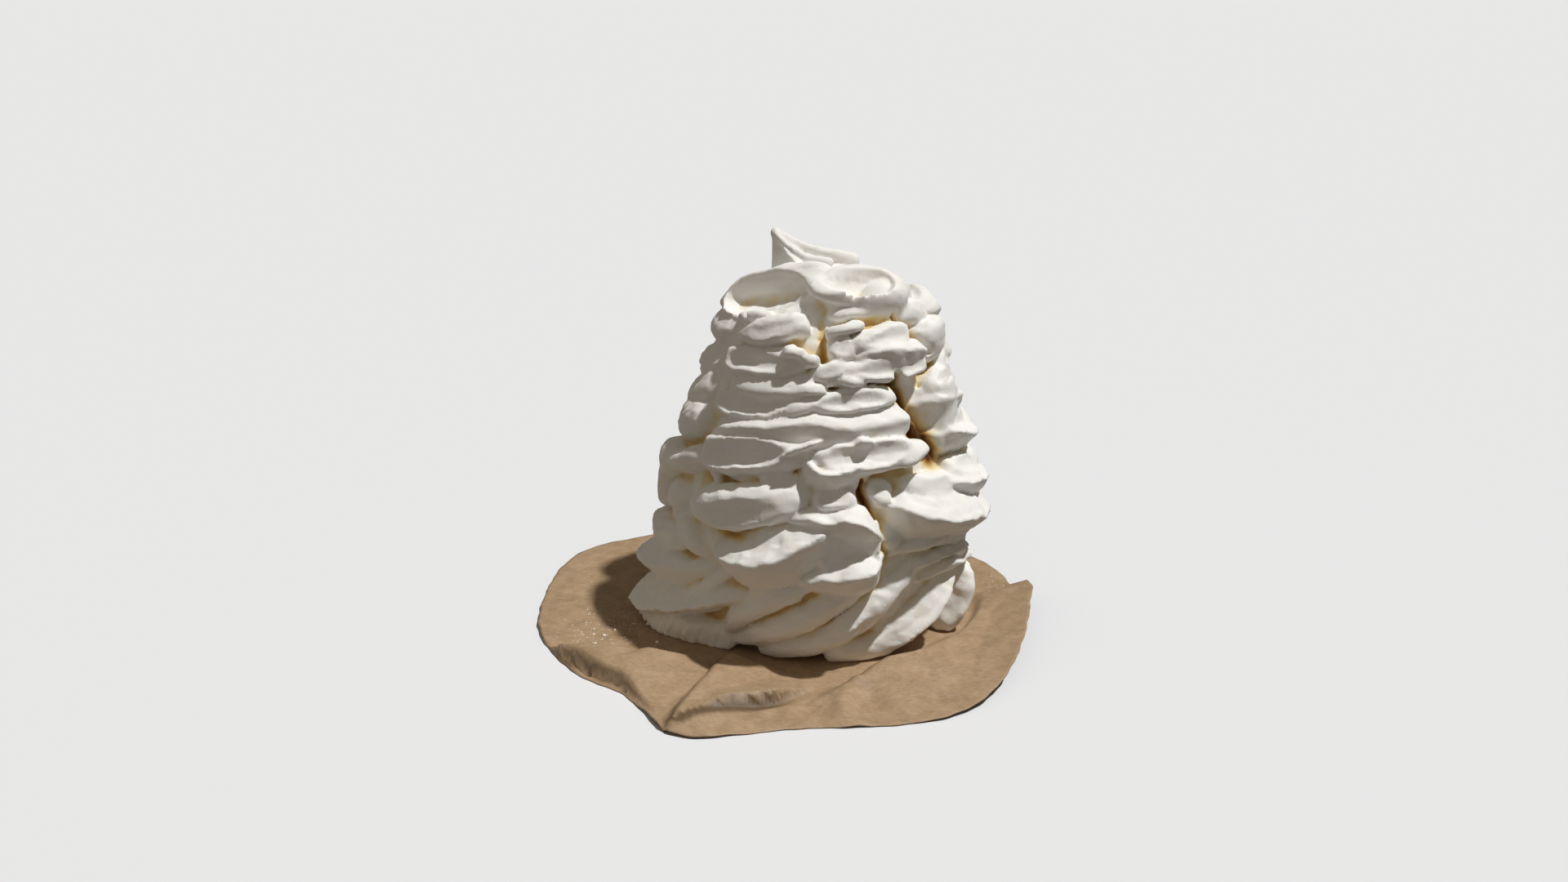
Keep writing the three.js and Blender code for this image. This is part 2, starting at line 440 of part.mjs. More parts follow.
crown(150, 8, 102, 66, 12, 6, { reach: 4, hollow: 0.5, ends: [2.5, 2.5], blend: 0.6 });
// the dome behind, the big left dish, the slab, then the deep right bowl and the tongue that lies in it
spoonful([1, 5, 109.8], 0, 0, 90, 15, 12, { depth: 8, blend: 1.5, boxy: 2.4 });
spoonful([-14.6, -12.6, 105.6], -19, 16, 55, 18.4, 9.4, { depth: 10, ends: [3, 3], blend: 0.5 });
scoop([-17.2, -13.6, 104.9], -26, 12, -5, 14.4, 8, 6.2, { ends: [3, 2.2], sharp: 0.4 });
scoop([-2, -16, 113.5], -16, 16, 50, 10, 6.5, 4.2, { sharp: 0.6, boxy: 2.2 });
spoonful([12.4, -25, 103.6], 22, -4, -6, 13.5, 3, { depth: 9, ends: [3, 2.6], blend: 0.4 });
spoonful([12.6, -16, 108.5], 20, -7, 72, 13.6, 11, { depth: 7, ends: [1.8, 2.8], blend: 0.4 });
scoop([9.8, -18.2, 110.6], 18, -4, 8, 10.4, 8.8, 6, { ends: [2, 2.4], sharp: 0.4 });
spoonful([20, -14.8, 105.8], 44, 2, 60, 9.4, 5.8, { depth: 7, ends: [2, 2.6], blend: 0.4, boxy: 2.4 });
// drying cracks
crack([[45, 96.5], [52, 93.5], [57, 88.5], [61, 85]], 0.8, 4);
crack([[33, 80.5], [35.5, 76], [38.5, 72]], 1.9, 9);
crack([[38.5, 72], [42, 65.5], [45.5, 58.5]], 1.3, 9);
crack([[16, 54.5], [15, 52], [17, 49], [19, 45]], 1.1, 5);
crack([[0, 97.5], [1, 92.5], [1, 88]], 0.8, 0.5);
crack([[-48, 97], [-44, 93.5]], 0.7, 2);
// the peak: a leaning spike with two curling ridges
spike([-7, 4, 102], [-13.4, 3, 116], 8.5, 1.3, 1.5);
ridge([[-13.8, 2.4, 117], [-11.4, 0, 114.8], [-8, -2, 112.4], [-4, -3, 110.4], [2, -4, 109.4]], [0.9, 0.9,
  1, 1.3, 1.6], 1);
ridge([[-13.6, 3.6, 117.4], [-10.4, 4, 115.6], [-5.6, 5, 112.6], [-1, 5, 111], [4, 5, 109.8],
  [9, 5, 108.4]], [1, 0.9, 1.1, 1.4, 1.8, 2.4], 1.6);

// distance from a point to the meringue's skin, less than zero inside
function meringue(x, y, z) {
  const radius = Math.hypot(x, y);
  const [arc, out] = fromCore(radius, z);
  const q = { x, y, z, radius, out };
  q.plain = [x, y, z].map((v, i) => v + 0.5 * wobble(x, y, z, 5 + i, 11));
  q.arc = arc + 0.35 * wobble(x, y, z, 1, 34) + 0.45 * wobble(x, y, z, 21, 13)
    + 0.25 * wobble(x, y, z, 22, 6);
  q.turn = Math.atan2(x, -y) / DEG + (0.4 * wobble(x, y, z, 2, 30) + 0.5 * wobble(x, y, z, 23, 12)
    + 0.25 * wobble(x, y, z, 24, 6)) / Math.max(radius, 12) / DEG;
  let f = out + 0.6 * wobble(x, y, z, 3, 16);
  for (const stroke of STROKES) f = stroke(q, f);
  return f;
}

// how far along a ray its outermost meeting with the skin is
function hit(origin, direction) {
  const at = (t) => meringue(...origin.map((v, i) => v + direction[i] * t));
  let t = OUTSIDE;
  while (t > 1 && at(t) > 0) t -= 0.8;
  let [inside, outside] = [t, t + 0.8];
  for (let n = 0; n < 9; n += 1) {
    const middle = (inside + outside) / 2;
    if (at(middle) > 0) outside = middle; else inside = middle;
  }
  return inside;
}

// one closed body: no normals or texture, shared vertices, no collapsed triangles
function closed(geometry) {
  geometry.deleteAttribute('normal');
  geometry.deleteAttribute('uv');
  const merged = mergeVertices(geometry, 1e-4);
  const index = Array.from(merged.index.array);
  const kept = [];
  for (let i = 0; i < index.length; i += 3) {
    const [a, b, c] = index.slice(i, i + 3);
    if (a !== b && b !== c && c !== a) kept.push(a, b, c);
  }
  merged.setIndex(kept);
  return merged;
}

// the skin: a sphere's grid drawn onto the meringue, its lowest row round the flat foot
function meringueGeometry() {
  const rows = SIDE_ROWS + DOME_ROWS + 1;
  const geometry = new THREE.SphereGeometry(1, COLUMNS, rows);
  const position = geometry.getAttribute('position');
  const index = (row, column) => row * (COLUMNS + 1) + column;
  const centre = [0, 0, SIDE_TOP];
  const heading = (column) => {
    const phi = column / COLUMNS * 2 * Math.PI;
    return [-Math.cos(phi), -Math.sin(phi)];
  };
  // the way of the ray for a place in the grid, where it starts, and how far out along it the skin is
  const rays = [];
  for (let row = 0; row < rows; row += 1) {
    rays.push([]);
    for (let column = 0; column < COLUMNS; column += 1) {
      const out = heading(column);
      const lift = Math.max(Math.PI / 2 * (1 - row / DOME_ROWS), 0);
      const way = [out[0] * Math.cos(lift), out[1] * Math.cos(lift), Math.sin(lift)];
      const start = row <= DOME_ROWS ? centre
        : [0, 0, SIDE_TOP + (FOOT - SIDE_TOP) * (row - DOME_ROWS) / SIDE_ROWS];
      rays[row].push({ start, way, far: row || !column ? hit(start, way) : rays[0][0].far });
    }
  }
  // saw teeth along slanting lips are taken off: each ray moves some way to the middle of its neighbours
  const far = (row, column) => rays[row][(column + COLUMNS) % COLUMNS].far;
  const eased = rays.map((line, row) => line.map((ray, column) => {
    if (row < 7 || row === rows - 1) return ray.far;
    const around = [far(row, column - 1), far(row, column + 1), far(row - 1, column), far(row + 1, column)]
      .sort((a, b) => a - b);
    return ray.far * 0.5 + (around[1] + around[2]) * 0.25;
  }));
  for (let row = 0; row <= rows; row += 1) {
    for (let column = 0; column <= COLUMNS; column += 1) {
      if (row === rows) { position.setXYZ(index(row, column), 0, 0, FOOT); continue; }
      const { start, way } = rays[row][column % COLUMNS];
      position.setXYZ(index(row, column), ...start.map((v, i) => v + way[i] * eased[row][column % COLUMNS]));
    }
  }
  // each four-sided cell is split along its shorter diagonal
  const at = (i) => new THREE.Vector3().fromBufferAttribute(position, i);
  const faces = [];
  for (let row = 0; row < rows; row += 1) {
    for (let column = 0; column < COLUMNS; column += 1) {
      const [a, b] = [index(row, column + 1), index(row, column)];
      const [c, d] = [index(row + 1, column), index(row + 1, column + 1)];
      if (row === 0) faces.push(b, c, d);
      else if (row === rows - 1) faces.push(a, b, d);
      else if (at(b).distanceTo(at(d)) < at(a).distanceTo(at(c))) faces.push(a, b, d, b, c, d);
      else faces.push(a, b, c, a, c, d);
    }
  }
  geometry.setIndex(faces);
  return closed(geometry);
}

// ---- the baking paper ----
// the distance of its edge from its centre, by the angle from +X: a torn point in front, a folded-in
// side at the left, a raised corner at the right
const EDGE = rounded([[-180, 75.4], [-170, 74.8], [-155, 72.4], [-140, 70.8], [-131, 67.8], [-123, 70.6],
  [-116, 75.6], [-111, 81], [-104, 80.2], [-98, 76], [-89, 72.3], [-82, 71.6], [-72, 73.9], [-63, 76.8],
  [-55, 79.7], [-47, 80.4], [-34, 77.8], [-23, 75.4], [-11, 74.8], [0, 76], [6, 78.6], [9.5, 78.4],
  [14, 75.4], [27, 77.8], [38, 77], [70, 75], [100, 75], [128, 77.4], [144, 84.4], [156, 81.4],
  [169, 77], [180, 75.4]], 2);
const paperEdge = (angle) => between(angle, EDGE.map((p) => p[0]), EDGE.map((p) => p[1]));
// fold lines; the flap at the left front lies between its ridge, its crest and its end
const RIDGE = measured(rounded([[-86, -27], [-81, -33.5], [-72, -39.7], [-64.5, -42.3], [-48, -43.9],
  [-36, -42.6], [-24, -37.5]], 1));
const CREST = measured(rounded([[-86, -24], [-82, -32.2], [-76.6, -41.2], [-70.7, -48.2], [-61.4, -56.9],
  [-55.2, -60.7], [-49.8, -68.4], [-44.5, -76.5], [-40, -86]], 1));
const FLAP_END = measured(rounded([[-23, -34], [-25.4, -38], [-27.8, -46.8], [-33, -61.7], [-37.3, -72.5],
  [-41, -86]], 1));
const PLEAT = measured(rounded([[-36.5, -79], [-33.6, -76.6], [-26.6, -73.1], [-14.8, -69.8],
  [-7.6, -64.1], [-0.9, -58.8]], 1));
const LONG_CREST = measured(rounded([[-38, -92], [-34.9, -86.6], [-22.5, -79.6], [-11.9, -73.5],
  [-0.9, -69.1], [8.1, -61], [15.2, -53.2], [22.5, -44.5], [32.7, -33.6], [48.8, -17.3], [60.5, -2.3],
  [68, 1]], 1));
// distance to a line, positive on its left, and how far along it, 0 to 1
function beside(x, y, line) {
  const [d, side, part] = alongLine(line, x, y);
  return [side < 0 ? -d : d, part];
}
// height of the paper's underside over the floor
function paperRise(x, y) {
  const [dx, dy] = [x - PAPER_CENTRE[0], y - PAPER_CENTRE[1]];
  const [angle, r, toAxis] = [Math.atan2(dy, dx) / DEG, Math.hypot(dx, dy), Math.hypot(x, y)];
  const turn = Math.atan2(x, -y) / DEG;
  const foot = 47.5 + 11 * step(-112, -80, turn) * (1 - step(-52, -30, turn));
  const [ridge, ridgePart] = beside(x, y, RIDGE);
  const [crest, crestPart] = beside(x, y, CREST);
  const [end, endPart] = beside(x, y, FLAP_END);
  // the rim turns up a little at the left and behind
  const rim = angle > 12 || angle < -160 ? 1.2 * step(56, 78, r) * step(-1, 2, ridge) : 0;
  // the flap slopes from its ridge to its crest, where it is turned down, and down to its end at the right
  const share = Math.abs(ridge) / (Math.abs(ridge) + Math.abs(crest) + 1e-3);
  const slope = between(ridgePart, [0, 0.35, 0.6, 0.8, 1], [1.5, 6.4, 6.8, 5, 3]) * (1 - share)
    + between(crestPart, [0, 0.5, 0.65, 1], [2, 5.6, 4.6, 1]) * share;
  const flap = slope * (0.3 + 0.7 * clamp(-end / 20, 0, 1)) * step(-0.5, 3, -ridge) * step(0, 1.6, crest)
    * step(-0.5, 0.5, -end);
  // there the next fold stands over it, and fades away to the right
  const foldOver = between(endPart, [0, 0.12, 0.6, 0.85, 1], [0, 3.4, 4.4, 3, 0.5]) * step(-0.3, 0.6, end)
    * (1 - step(1, 24, end));
  // a short pleat in front of the foot, its near side steep
  const [pleatSide, pleatPart] = beside(x, y, PLEAT);
  const pleat = between(pleatPart, [0, 0.3, 0.65, 1], [2, 5, 4.4, 0]) * step(-1, 0, pleatSide)
    * (1 - clamp(pleatSide / 18, 0, 1));
  // the long crest: a flat slope outwards to the edge, a steeper one back to the meringue
  const [side, part] = beside(x, y, LONG_CREST);
  const toEdge = Math.max(paperEdge(angle) - r, 0);
  const right = between(part, [0, 0.2, 0.35, 0.5, 0.65, 0.85, 1], [0.3, 0.7, 1.6, 4.4, 5, 4, 6.5])
    * (side < 0 ? (toEdge + 1) / (toEdge + 1 - side) : 1 - step(0, 4 + 13 * step(0.6, 0.9, part), side));
  // the side at the right curls up, most of all at its far corner
  const curl = between(angle, [-80, -62, -50, -34, -12, 4, 10, 13], [0, 0.4, 2, 4.6, 6.2, 7, 6.5, 0])
    * clamp(1 - toEdge / 26, 0, 1);
  const rise = Math.max(rim, flap, foldOver, pleat, right, curl)
    + 0.15 * (1 + wobble(x, y, 0, 31, 26)) * step(50, 62, toAxis) * step(0, 8, toEdge);
  return rise * step(foot, foot + 4, toAxis);
}

// whether the paper, at this height here and sloping to the floor one ring inward, comes too near
function crowds(x, y, z) {
  const spacing = 76 / PAPER_RINGS;
  const inward = Math.atan2(-y, -x);
  return [-35, 0, 35].some((swing) => [0, 0.25, 0.5, 0.75].some((part) => {
    const [dx, dy] = [Math.cos(inward + swing * DEG), Math.sin(inward + swing * DEG)];
    const gap = meringue(x + dx * spacing * part, y + dy * spacing * part, z * (1 - part) + PAPER_THICKNESS);
    return gap < CLEARANCE * (1 - 0.4 * part);
  }));
}

// a disc of rings, doubled: the upper face above the lower one, both split alike, with a wall between
function paperGeometry() {
  const disc = closed(new THREE.RingGeometry(0, 1, PAPER_COLUMNS, PAPER_RINGS));
  const flat = disc.getAttribute('position');
  const count = flat.count;
  const points = new Float32Array(count * 6);
  for (let i = 0; i < count; i += 1) {
    const angle = Math.atan2(flat.getY(i), flat.getX(i));
    const r = Math.hypot(flat.getX(i), flat.getY(i)) * paperEdge(angle / DEG);
    const [x, y] = [PAPER_CENTRE[0] + r * Math.cos(angle), PAPER_CENTRE[1] + r * Math.sin(angle)];
    let z = paperRise(x, y);
    while (z > 0 && crowds(x, y, z)) z = Math.max(0, z - 0.2);
    points.set([x, y, z], i * 3);
    points.set([x, y, z + PAPER_THICKNESS], (count + i) * 3);
  }
  const index = Array.from(disc.index.array);
  const edges = new Map();
  for (let i = 0; i < index.length; i += 3) {
    for (let k = 0; k < 3; k += 1) {
      const [a, b] = [index[i + k], index[i + (k + 1) % 3]];
      edges.set(`${a},${b}`, [a, b]);
    }
  }
  const faces = [];
  for (let i = 0; i < index.length; i += 3) {
    const [a, b, c] = index.slice(i, i + 3);
    faces.push(a + count, b + count, c + count, a, c, b);
  }
  for (const [a, b] of edges.values()) {
    if (!edges.has(`${b},${a}`)) faces.push(b + count, a + count, a, b + count, a, b);
  }
  const geometry = new THREE.BufferGeometry();
  geometry.setAttribute('position', new THREE.BufferAttribute(points, 3));
  geometry.setIndex(faces);
  return geometry;
}

const body = new THREE.Mesh(meringueGeometry(),
  new THREE.MeshStandardMaterial({ color: 0xf3f0e9, roughness: 0.72, metalness: 0 }));
body.name = 'meringue';
const paper = new THREE.Mesh(paperGeometry(),
  new THREE.MeshStandardMaterial({ color: 0xa98560, roughness: 0.8, metalness: 0, side: THREE.DoubleSide }));
paper.name = 'baking_paper';

const group = new THREE.Group();
group.add(body, paper);
export default group;
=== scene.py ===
# %% [markdown]
# # A tall meringue on baking paper
# Egg white and sugar are spooned up into a rough tower, a band at a time, and dried in a cool oven on a
# round of brown paper. The skin turns crisp and white, the bands pull apart a little as they dry, and
# the cracks between them show the cream and caramel colours of the sweeter inside.
# The solid model comes first: it gives the size and the frame, and every piece here stays inside it.

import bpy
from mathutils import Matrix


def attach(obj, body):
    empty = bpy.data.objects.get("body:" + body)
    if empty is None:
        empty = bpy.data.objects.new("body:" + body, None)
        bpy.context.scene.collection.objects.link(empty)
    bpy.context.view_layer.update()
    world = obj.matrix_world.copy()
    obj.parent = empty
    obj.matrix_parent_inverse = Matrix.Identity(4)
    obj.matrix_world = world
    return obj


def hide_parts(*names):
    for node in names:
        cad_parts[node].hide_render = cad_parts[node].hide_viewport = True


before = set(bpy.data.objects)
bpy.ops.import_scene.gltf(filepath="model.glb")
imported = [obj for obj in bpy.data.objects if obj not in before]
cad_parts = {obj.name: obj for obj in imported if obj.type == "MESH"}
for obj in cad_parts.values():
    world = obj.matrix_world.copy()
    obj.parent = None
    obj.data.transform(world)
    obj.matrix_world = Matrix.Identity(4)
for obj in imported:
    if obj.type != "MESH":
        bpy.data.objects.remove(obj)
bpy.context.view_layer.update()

import math

import bpy
import numpy as np
from mathutils import Vector

# %% [markdown]
# ## Sizes and a grid to model in
# A spoonful of beaten egg white has no edges to draw: it is pushed, dragged and laid over the last one.
# It could be sculpted by hand, or built from curved sheets, but then every overlap must be joined.
# Here the whole body is a distance field instead: a number at each point of a fine grid says how far
# the skin is, and each spoonful joins, covers or presses that field. Soft joins then come by themselves.
# All sizes are in millimetres; the mesh is turned to metres at the end.

# %% The grid
GRID = 0.65          # mm between samples; about the finest tear that shows
LOW, HIGH = (-70, -62, -2), (63, 62, 123)
FOOT = 0.35                                 # the paper under it is 0.3 mm thick
# the most that the finished skin may have
TRIANGLES = 196000                          # the triangles that the thinned skin is cut down to
axes = [np.arange(low, high, GRID, dtype=np.float32) for low, high in zip(LOW, HIGH)]
print("grid", [len(axis) for axis in axes])

# radius and height of the core, from the floor up to the middle of the top
CORE = [(36, 0), (40, 4), (42.8, 12), (44.8, 22), (45.6, 30), (44.6, 41), (41.6, 52), (38.2, 62),
        (34.8, 72), (32.3, 82), (29.8, 91), (26, 98), (19, 103), (10, 106), (0, 107)]


def rounded(points, times):
    """corner-cutting turns a short line of points into a smooth one"""
    line = np.array(points, float)
    for _ in range(times):
        cut = np.stack([line[:-1] * 0.75 + line[1:] * 0.25, line[:-1] * 0.25 + line[1:] * 0.75], 1)
        line = np.concatenate([line[:1], cut.reshape(-1, line.shape[1]), line[-1:]])
    return line


OUTLINE = rounded(CORE, 3)
LENGTHS = np.hypot(*np.diff(OUTLINE, axis=0).T)
ARC = np.concatenate([[0], np.cumsum(LENGTHS)])


def arc_at(height):
    """mm along the core's outline up to a height"""
    return float(np.interp(height, OUTLINE[:, 1], ARC))


def radius_at(arc):
    """the core's radius so many mm along its outline"""
    return float(np.interp(arc, ARC, OUTLINE[:, 0]))


def from_core(radius, z):
    """length along the core's outline to the nearest point, and the distance out from it"""
    best = np.full(radius.shape, 1e9, np.float32)
    arc, side = np.zeros_like(best), np.ones_like(best)
    for a, b, length, start in zip(OUTLINE[:-1], OUTLINE[1:], LENGTHS, ARC):
        ex, ey = (b - a) / length
        along = np.clip((radius - a[0]) * ex + (z - a[1]) * ey, 0, length)
        dx, dy = radius - a[0] - along * ex, z - a[1] - along * ey
        d = np.hypot(dx, dy)
        near = d < best
        best[near], arc[near] = d[near], (start + along)[near]
        side[near] = np.where(dx * ey - dy * ex < 0, -1, 1)[near]
    return arc, best * side


print("core outline", len(OUTLINE), "points,", round(float(ARC[-1]), 1), "mm long")

# %% [markdown]
# ## Wobbles
# Nothing a spoon makes is straight or even. Before any spoonful is laid, the grid's own directions are
# bent by slow waves, so every edge drawn later wanders a little. Sums of slanting sine waves do this
# the same way each time. For the fine torn crumb a lattice of seeded random numbers is smoother work.

# %% Wobble, crumb and soft joins
SPREAD = (12.9898, 78.233)                  # steps that make neighbouring whole seeds differ widely
LATTICE = 64                                # random numbers along each side of the crumb's lattice


def wobble(x, y, z, seed, scale):
    """about -1 to 1, a sum of four slanting waves"""
    total = 0
    for i in range(4):
        g = seed * SPREAD[0] + i * SPREAD[1]
        a = [math.sin(g * 1.37), math.sin(g * 2.37), math.sin(g * 3.37)]
        n = math.hypot(*a)
        total = total + np.sin((x * a[0] + y * a[1] + z * a[2]) / n * ((1 + 0.55 * i) * 2 * math.pi / scale)
                               + g) / (1 + 0.6 * i)
    return total / 2.2


lattice = np.random.default_rng(11).uniform(-1, 1, (LATTICE,) * 3).astype(np.float32)


def crumb(x, y, z, size):
    """smooth random bumps, one to each size in mm"""
    cells, parts = [], []
    for v in (x, y, z):
        v = v / size + 19.7
        cell = np.floor(v)
        part = (v - cell).astype(np.float32)
        cells.append(cell.astype(np.int64))
        parts.append(part * part * (3 - 2 * part))
    total = 0
    for i in (0, 1):
        for j in (0, 1):
            for k in (0, 1):
                weight = ((parts[0] if i else 1 - parts[0]) * (parts[1] if j else 1 - parts[1])
                          * (parts[2] if k else 1 - parts[2]))
                x_cell, y_cell, z_cell = (cell + step for cell, step in zip(cells, (i, j, k)))
                total = total + weight * lattice[x_cell % LATTICE, y_cell % LATTICE, z_cell % LATTICE]
    return total


def soft_join(a, b, k):
    """the union of two distances, rounded over k mm where they meet"""
    h = np.clip(0.5 + 0.5 * (b - a) / k, 0, 1)
    return b * (1 - h) + a * h - k * h * (1 - h)


def soft_cut(a, b, k):
    """what is inside both, so a minus distance cuts"""
    return -soft_join(-a, -b, k)


def roll(seed, k):
    """a fixed random number, 0 to 1"""
    v = math.sin(seed * SPREAD[0] + k * SPREAD[1]) * 43758.5453
    return v - math.floor(v)


print("first rolls", [round(roll(seed, 1), 3) for seed in range(4)])

# %% [markdown]
# ## The unrolled skin
# A band that runs round a tower is easiest to place as if the skin were unrolled: by its turn round the
# axis in degrees (0 at the front, 90 at the right), its height, and how far it reaches out of the core.
# Only grid points near the skin are worked on, which keeps some three million samples to a few seconds.

# %% Points near the skin
REACH_IN, REACH_OUT = 9, 19                 # mm in from the core and out from it that a stroke can touch
RING = 0.5                                  # mm between the rings of the table of distances
STROKE_GAP = 37.0                           # keeps the fine lines of one stroke apart from the next one's
grid_x, grid_y = np.meshgrid(axes[0], axes[1], indexing="ij")
grid_radius = np.hypot(grid_x, grid_y)
rings = np.arange(0, 95, RING, dtype=np.float32)
arc_table, out_table = from_core(*np.meshgrid(rings, axes[2], indexing="ij"))
row = np.clip((grid_radius / RING).astype(int), 0, len(rings) - 2)
part = (grid_radius / RING - row)[..., None]
field = (out_table[row] * (1 - part) + out_table[row + 1] * part).astype(np.float32)
near = np.flatnonzero((field > -REACH_IN) & (field < REACH_OUT))
column = near // len(axes[2])
px, py, pz = grid_x.ravel()[column], grid_y.ravel()[column], axes[2][near % len(axes[2])]
radius = grid_radius.ravel()[column]
out = field.ravel()[near].copy()
arc = (arc_table[row] * (1 - part) + arc_table[row + 1] * part).ravel()[near].astype(np.float32)
plain_arc, plain_turn = arc.copy(), np.degrees(np.arctan2(px, -py)).astype(np.float32)
arc = (arc + 0.35 * wobble(px, py, pz, 1, 34) + 0.45 * wobble(px, py, pz, 21, 13)
       + 0.25 * wobble(px, py, pz, 22, 6))
turn = plain_turn + np.degrees((0.4 * wobble(px, py, pz, 2, 30) + 0.5 * wobble(px, py, pz, 23, 12)
                                + 0.25 * wobble(px, py, pz, 24, 6)) / np.maximum(radius, 12))
arc = arc + 0.45 * crumb(px, py, pz, 4.2) + 0.22 * crumb(py, pz, px, 2)
turn = turn + np.degrees((0.5 * crumb(pz, px, py, 4.6) + 0.2 * crumb(pz, py, px, 2.2))
                         / np.maximum(radius, 12))
dist = out + 0.6 * wobble(px, py, pz, 3, 16)      # the field itself: less than 0 inside the meringue
plain_x, plain_y, plain_z = (v + 0.5 * wobble(px, py, pz, seed, 11)
                             for v, seed in ((px, 5), (py, 6), (pz, 7)))
stroke_u, stroke_v = plain_turn * 0.7, plain_arc.copy()     # along and across the last stroke laid
strokes = 0
print("points near the skin", len(near))

# %% [markdown]
# ## The spoon's marks
# A few marks make the whole meringue, and each changes the field near it only. A band is a lump with a
# hollow pressed in its face, as the back of a spoon leaves it. Balls or stretched boxes would look like
# either of those things; a lump whose power can be set lies between the two, blunt but never square.

# %% Lump and band
def lump(u, v, w, a, b, c, ends, n=2):
    """distance to a rounded lump of half sizes a, b, c; a power of 2 is round, a larger one blunt or boxy"""
    p = np.where(u < 0, ends[0], ends[1])
    s, v, w = np.abs(u / a) + 1e-5, np.abs(v / b) + 1e-5, np.abs(w / c) + 1e-5
    q = (v ** n + w ** n) ** (1 / n)
    k = (s ** p + q ** p) ** (1 / p)
    g = k ** (1 - p)
    across = g * q ** (p - n) * np.hypot(v ** (n - 1) / b, w ** (n - 1) / c)
    slope = np.hypot(g * s ** (p - 1) / a, across) + 1e-6
    return np.clip((k - 1) / slope, -8, 12)


def turned(angle, start):
    """degrees from a start to an angle, -180 to 180"""
    return (angle - start + 540) % 360 - 180


def lay(m, shape, blend, u, v, cut=None, sharp=0.7):
    """join a shape to the field at the points m, press a hollow in it, and note the stroke's direction"""
    global strokes
    strokes += 1
    before = dist[m]
    after = soft_join(before, shape, blend)
    if cut is not None:
        after = soft_cut(after, -cut, sharp)
    dist[m] = after
    mine = shape < before + 0.3
    stroke_u[m[mine]], stroke_v[m[mine]] = u[mine], v[mine] + strokes * STROKE_GAP


def band(at, height, half, rise, tilt=0, reach=6, hollow=0, lean=0.35, bend=0, ends=(3, 3), blend=0.5,
         rim=1, depth=7, up=0.1, sharp=0.4, taper=0, shift=0, tuck=0.3, boxy=3):
    """a spoonful along the skin, with the hollow that the back of the spoon left in its face"""
    start = arc_at(height)
    across = radius_at(start) + 3
    c, s = math.cos(math.radians(tilt)), math.sin(math.radians(tilt))
    tall = math.hypot(rise, half * s) + abs(bend) + 6
    a = turned(turn, at) * (math.pi / 180 * across)
    m = np.flatnonzero((np.abs(a) < half + rise + 6) & (np.abs(arc - start) < tall))
    a, b = a[m], arc[m] - start
    u = a * c + b * s
    v = (-a * s + b * c - bend * (u / half) ** 2) / np.clip(1 + taper * u / half, 0.3, 1.7)
    w = out[m] + lean * v
    cut = lump(u - shift, v - up * rise, w - (reach + hollow) - tuck * v, half - rim, rise - rim * 0.5,
               hollow * 2, ends) if hollow else None
    lay(m, lump(u, v, w - (reach - depth), half, rise, depth, ends, boxy), blend, u, v, cut, sharp)


past_end = float(lump(12.0, 0.0, 0.0, 10, 4, 3, (2, 2)))
print("12 mm along a lump of half length 10:", round(past_end, 1), "mm past its end")

# %% [markdown]
# A fold is a long tapering roll along a line, as the mix folds over itself when the spoon is drawn away.
# A ledge is a shelf with a sharp lip: two slopes that meet, one above the lip and one below it.

# %% Fold and ledge
def along_line(line, u, v):
    """distance to a line of points, which side of it, and how far along it, 0 to 1"""
    best = np.full(len(u), 1e9, np.float32)
    side, part = np.zeros_like(best), np.zeros_like(best)
    lengths = np.hypot(*np.diff(line, axis=0).T)
    start = np.concatenate([[0], np.cumsum(lengths)])
    for a, b, length, gone in zip(line[:-1], line[1:], lengths, start):
        ex, ey = (b - a) / length
        along = np.clip((u - a[0]) * ex + (v - a[1]) * ey, 0, length)
        dx, dy = u - a[0] - along * ex, v - a[1] - along * ey
        d = np.hypot(dx, dy)
        closer = d < best
        best[closer], side[closer] = d[closer], (dy * ex - dx * ey)[closer]
        part[closer] = ((gone + along) / start[-1])[closer]
    return best, side, part, start[-1]


def fold(points, thick, reach, lean=0, blend=0.9, low=-3, ends=(0.3, 0.3)):
    """a roll along (turn, height) points, thin at its two ends"""
    line = rounded([(at, arc_at(height)) for at, height in points], 2)
    middle, (lo, hi) = line[:, 0].mean(), (line[:, 1].min(), line[:, 1].max())
    across = radius_at((lo + hi) / 2) + 3
    span = np.abs(line[:, 0] - middle).max() + thick * 2.5
    dt = turned(turn, middle)
    m = np.flatnonzero((np.abs(dt) < span) & (np.abs(arc - (lo + hi) / 2) < (hi - lo) / 2 + thick + 5))
    path = np.stack([(line[:, 0] - middle) * (math.pi / 180 * across), line[:, 1]], 1)
    d, side, part, length = along_line(path, dt[m] * (math.pi / 180 * across), arc[m])
    size = np.minimum(ends[0] + (1 - ends[0]) * np.clip(part * 3.2, 0, 1) ** 0.7,
                      ends[1] + (1 - ends[1]) * np.clip((1 - part) * 3.2, 0, 1) ** 0.7)
    t, c = thick * size, (reach - low) * (0.25 + 0.75 * size)
    w = np.maximum(out[m] + lean * side - low, 0)
    k = np.hypot(d / t, w / c)
    shape = np.clip(k * (k - 1) / (np.hypot(d / t ** 2, w / c ** 2) + 1e-6), -6, 12)
    lay(m, shape, blend, part * length, side)


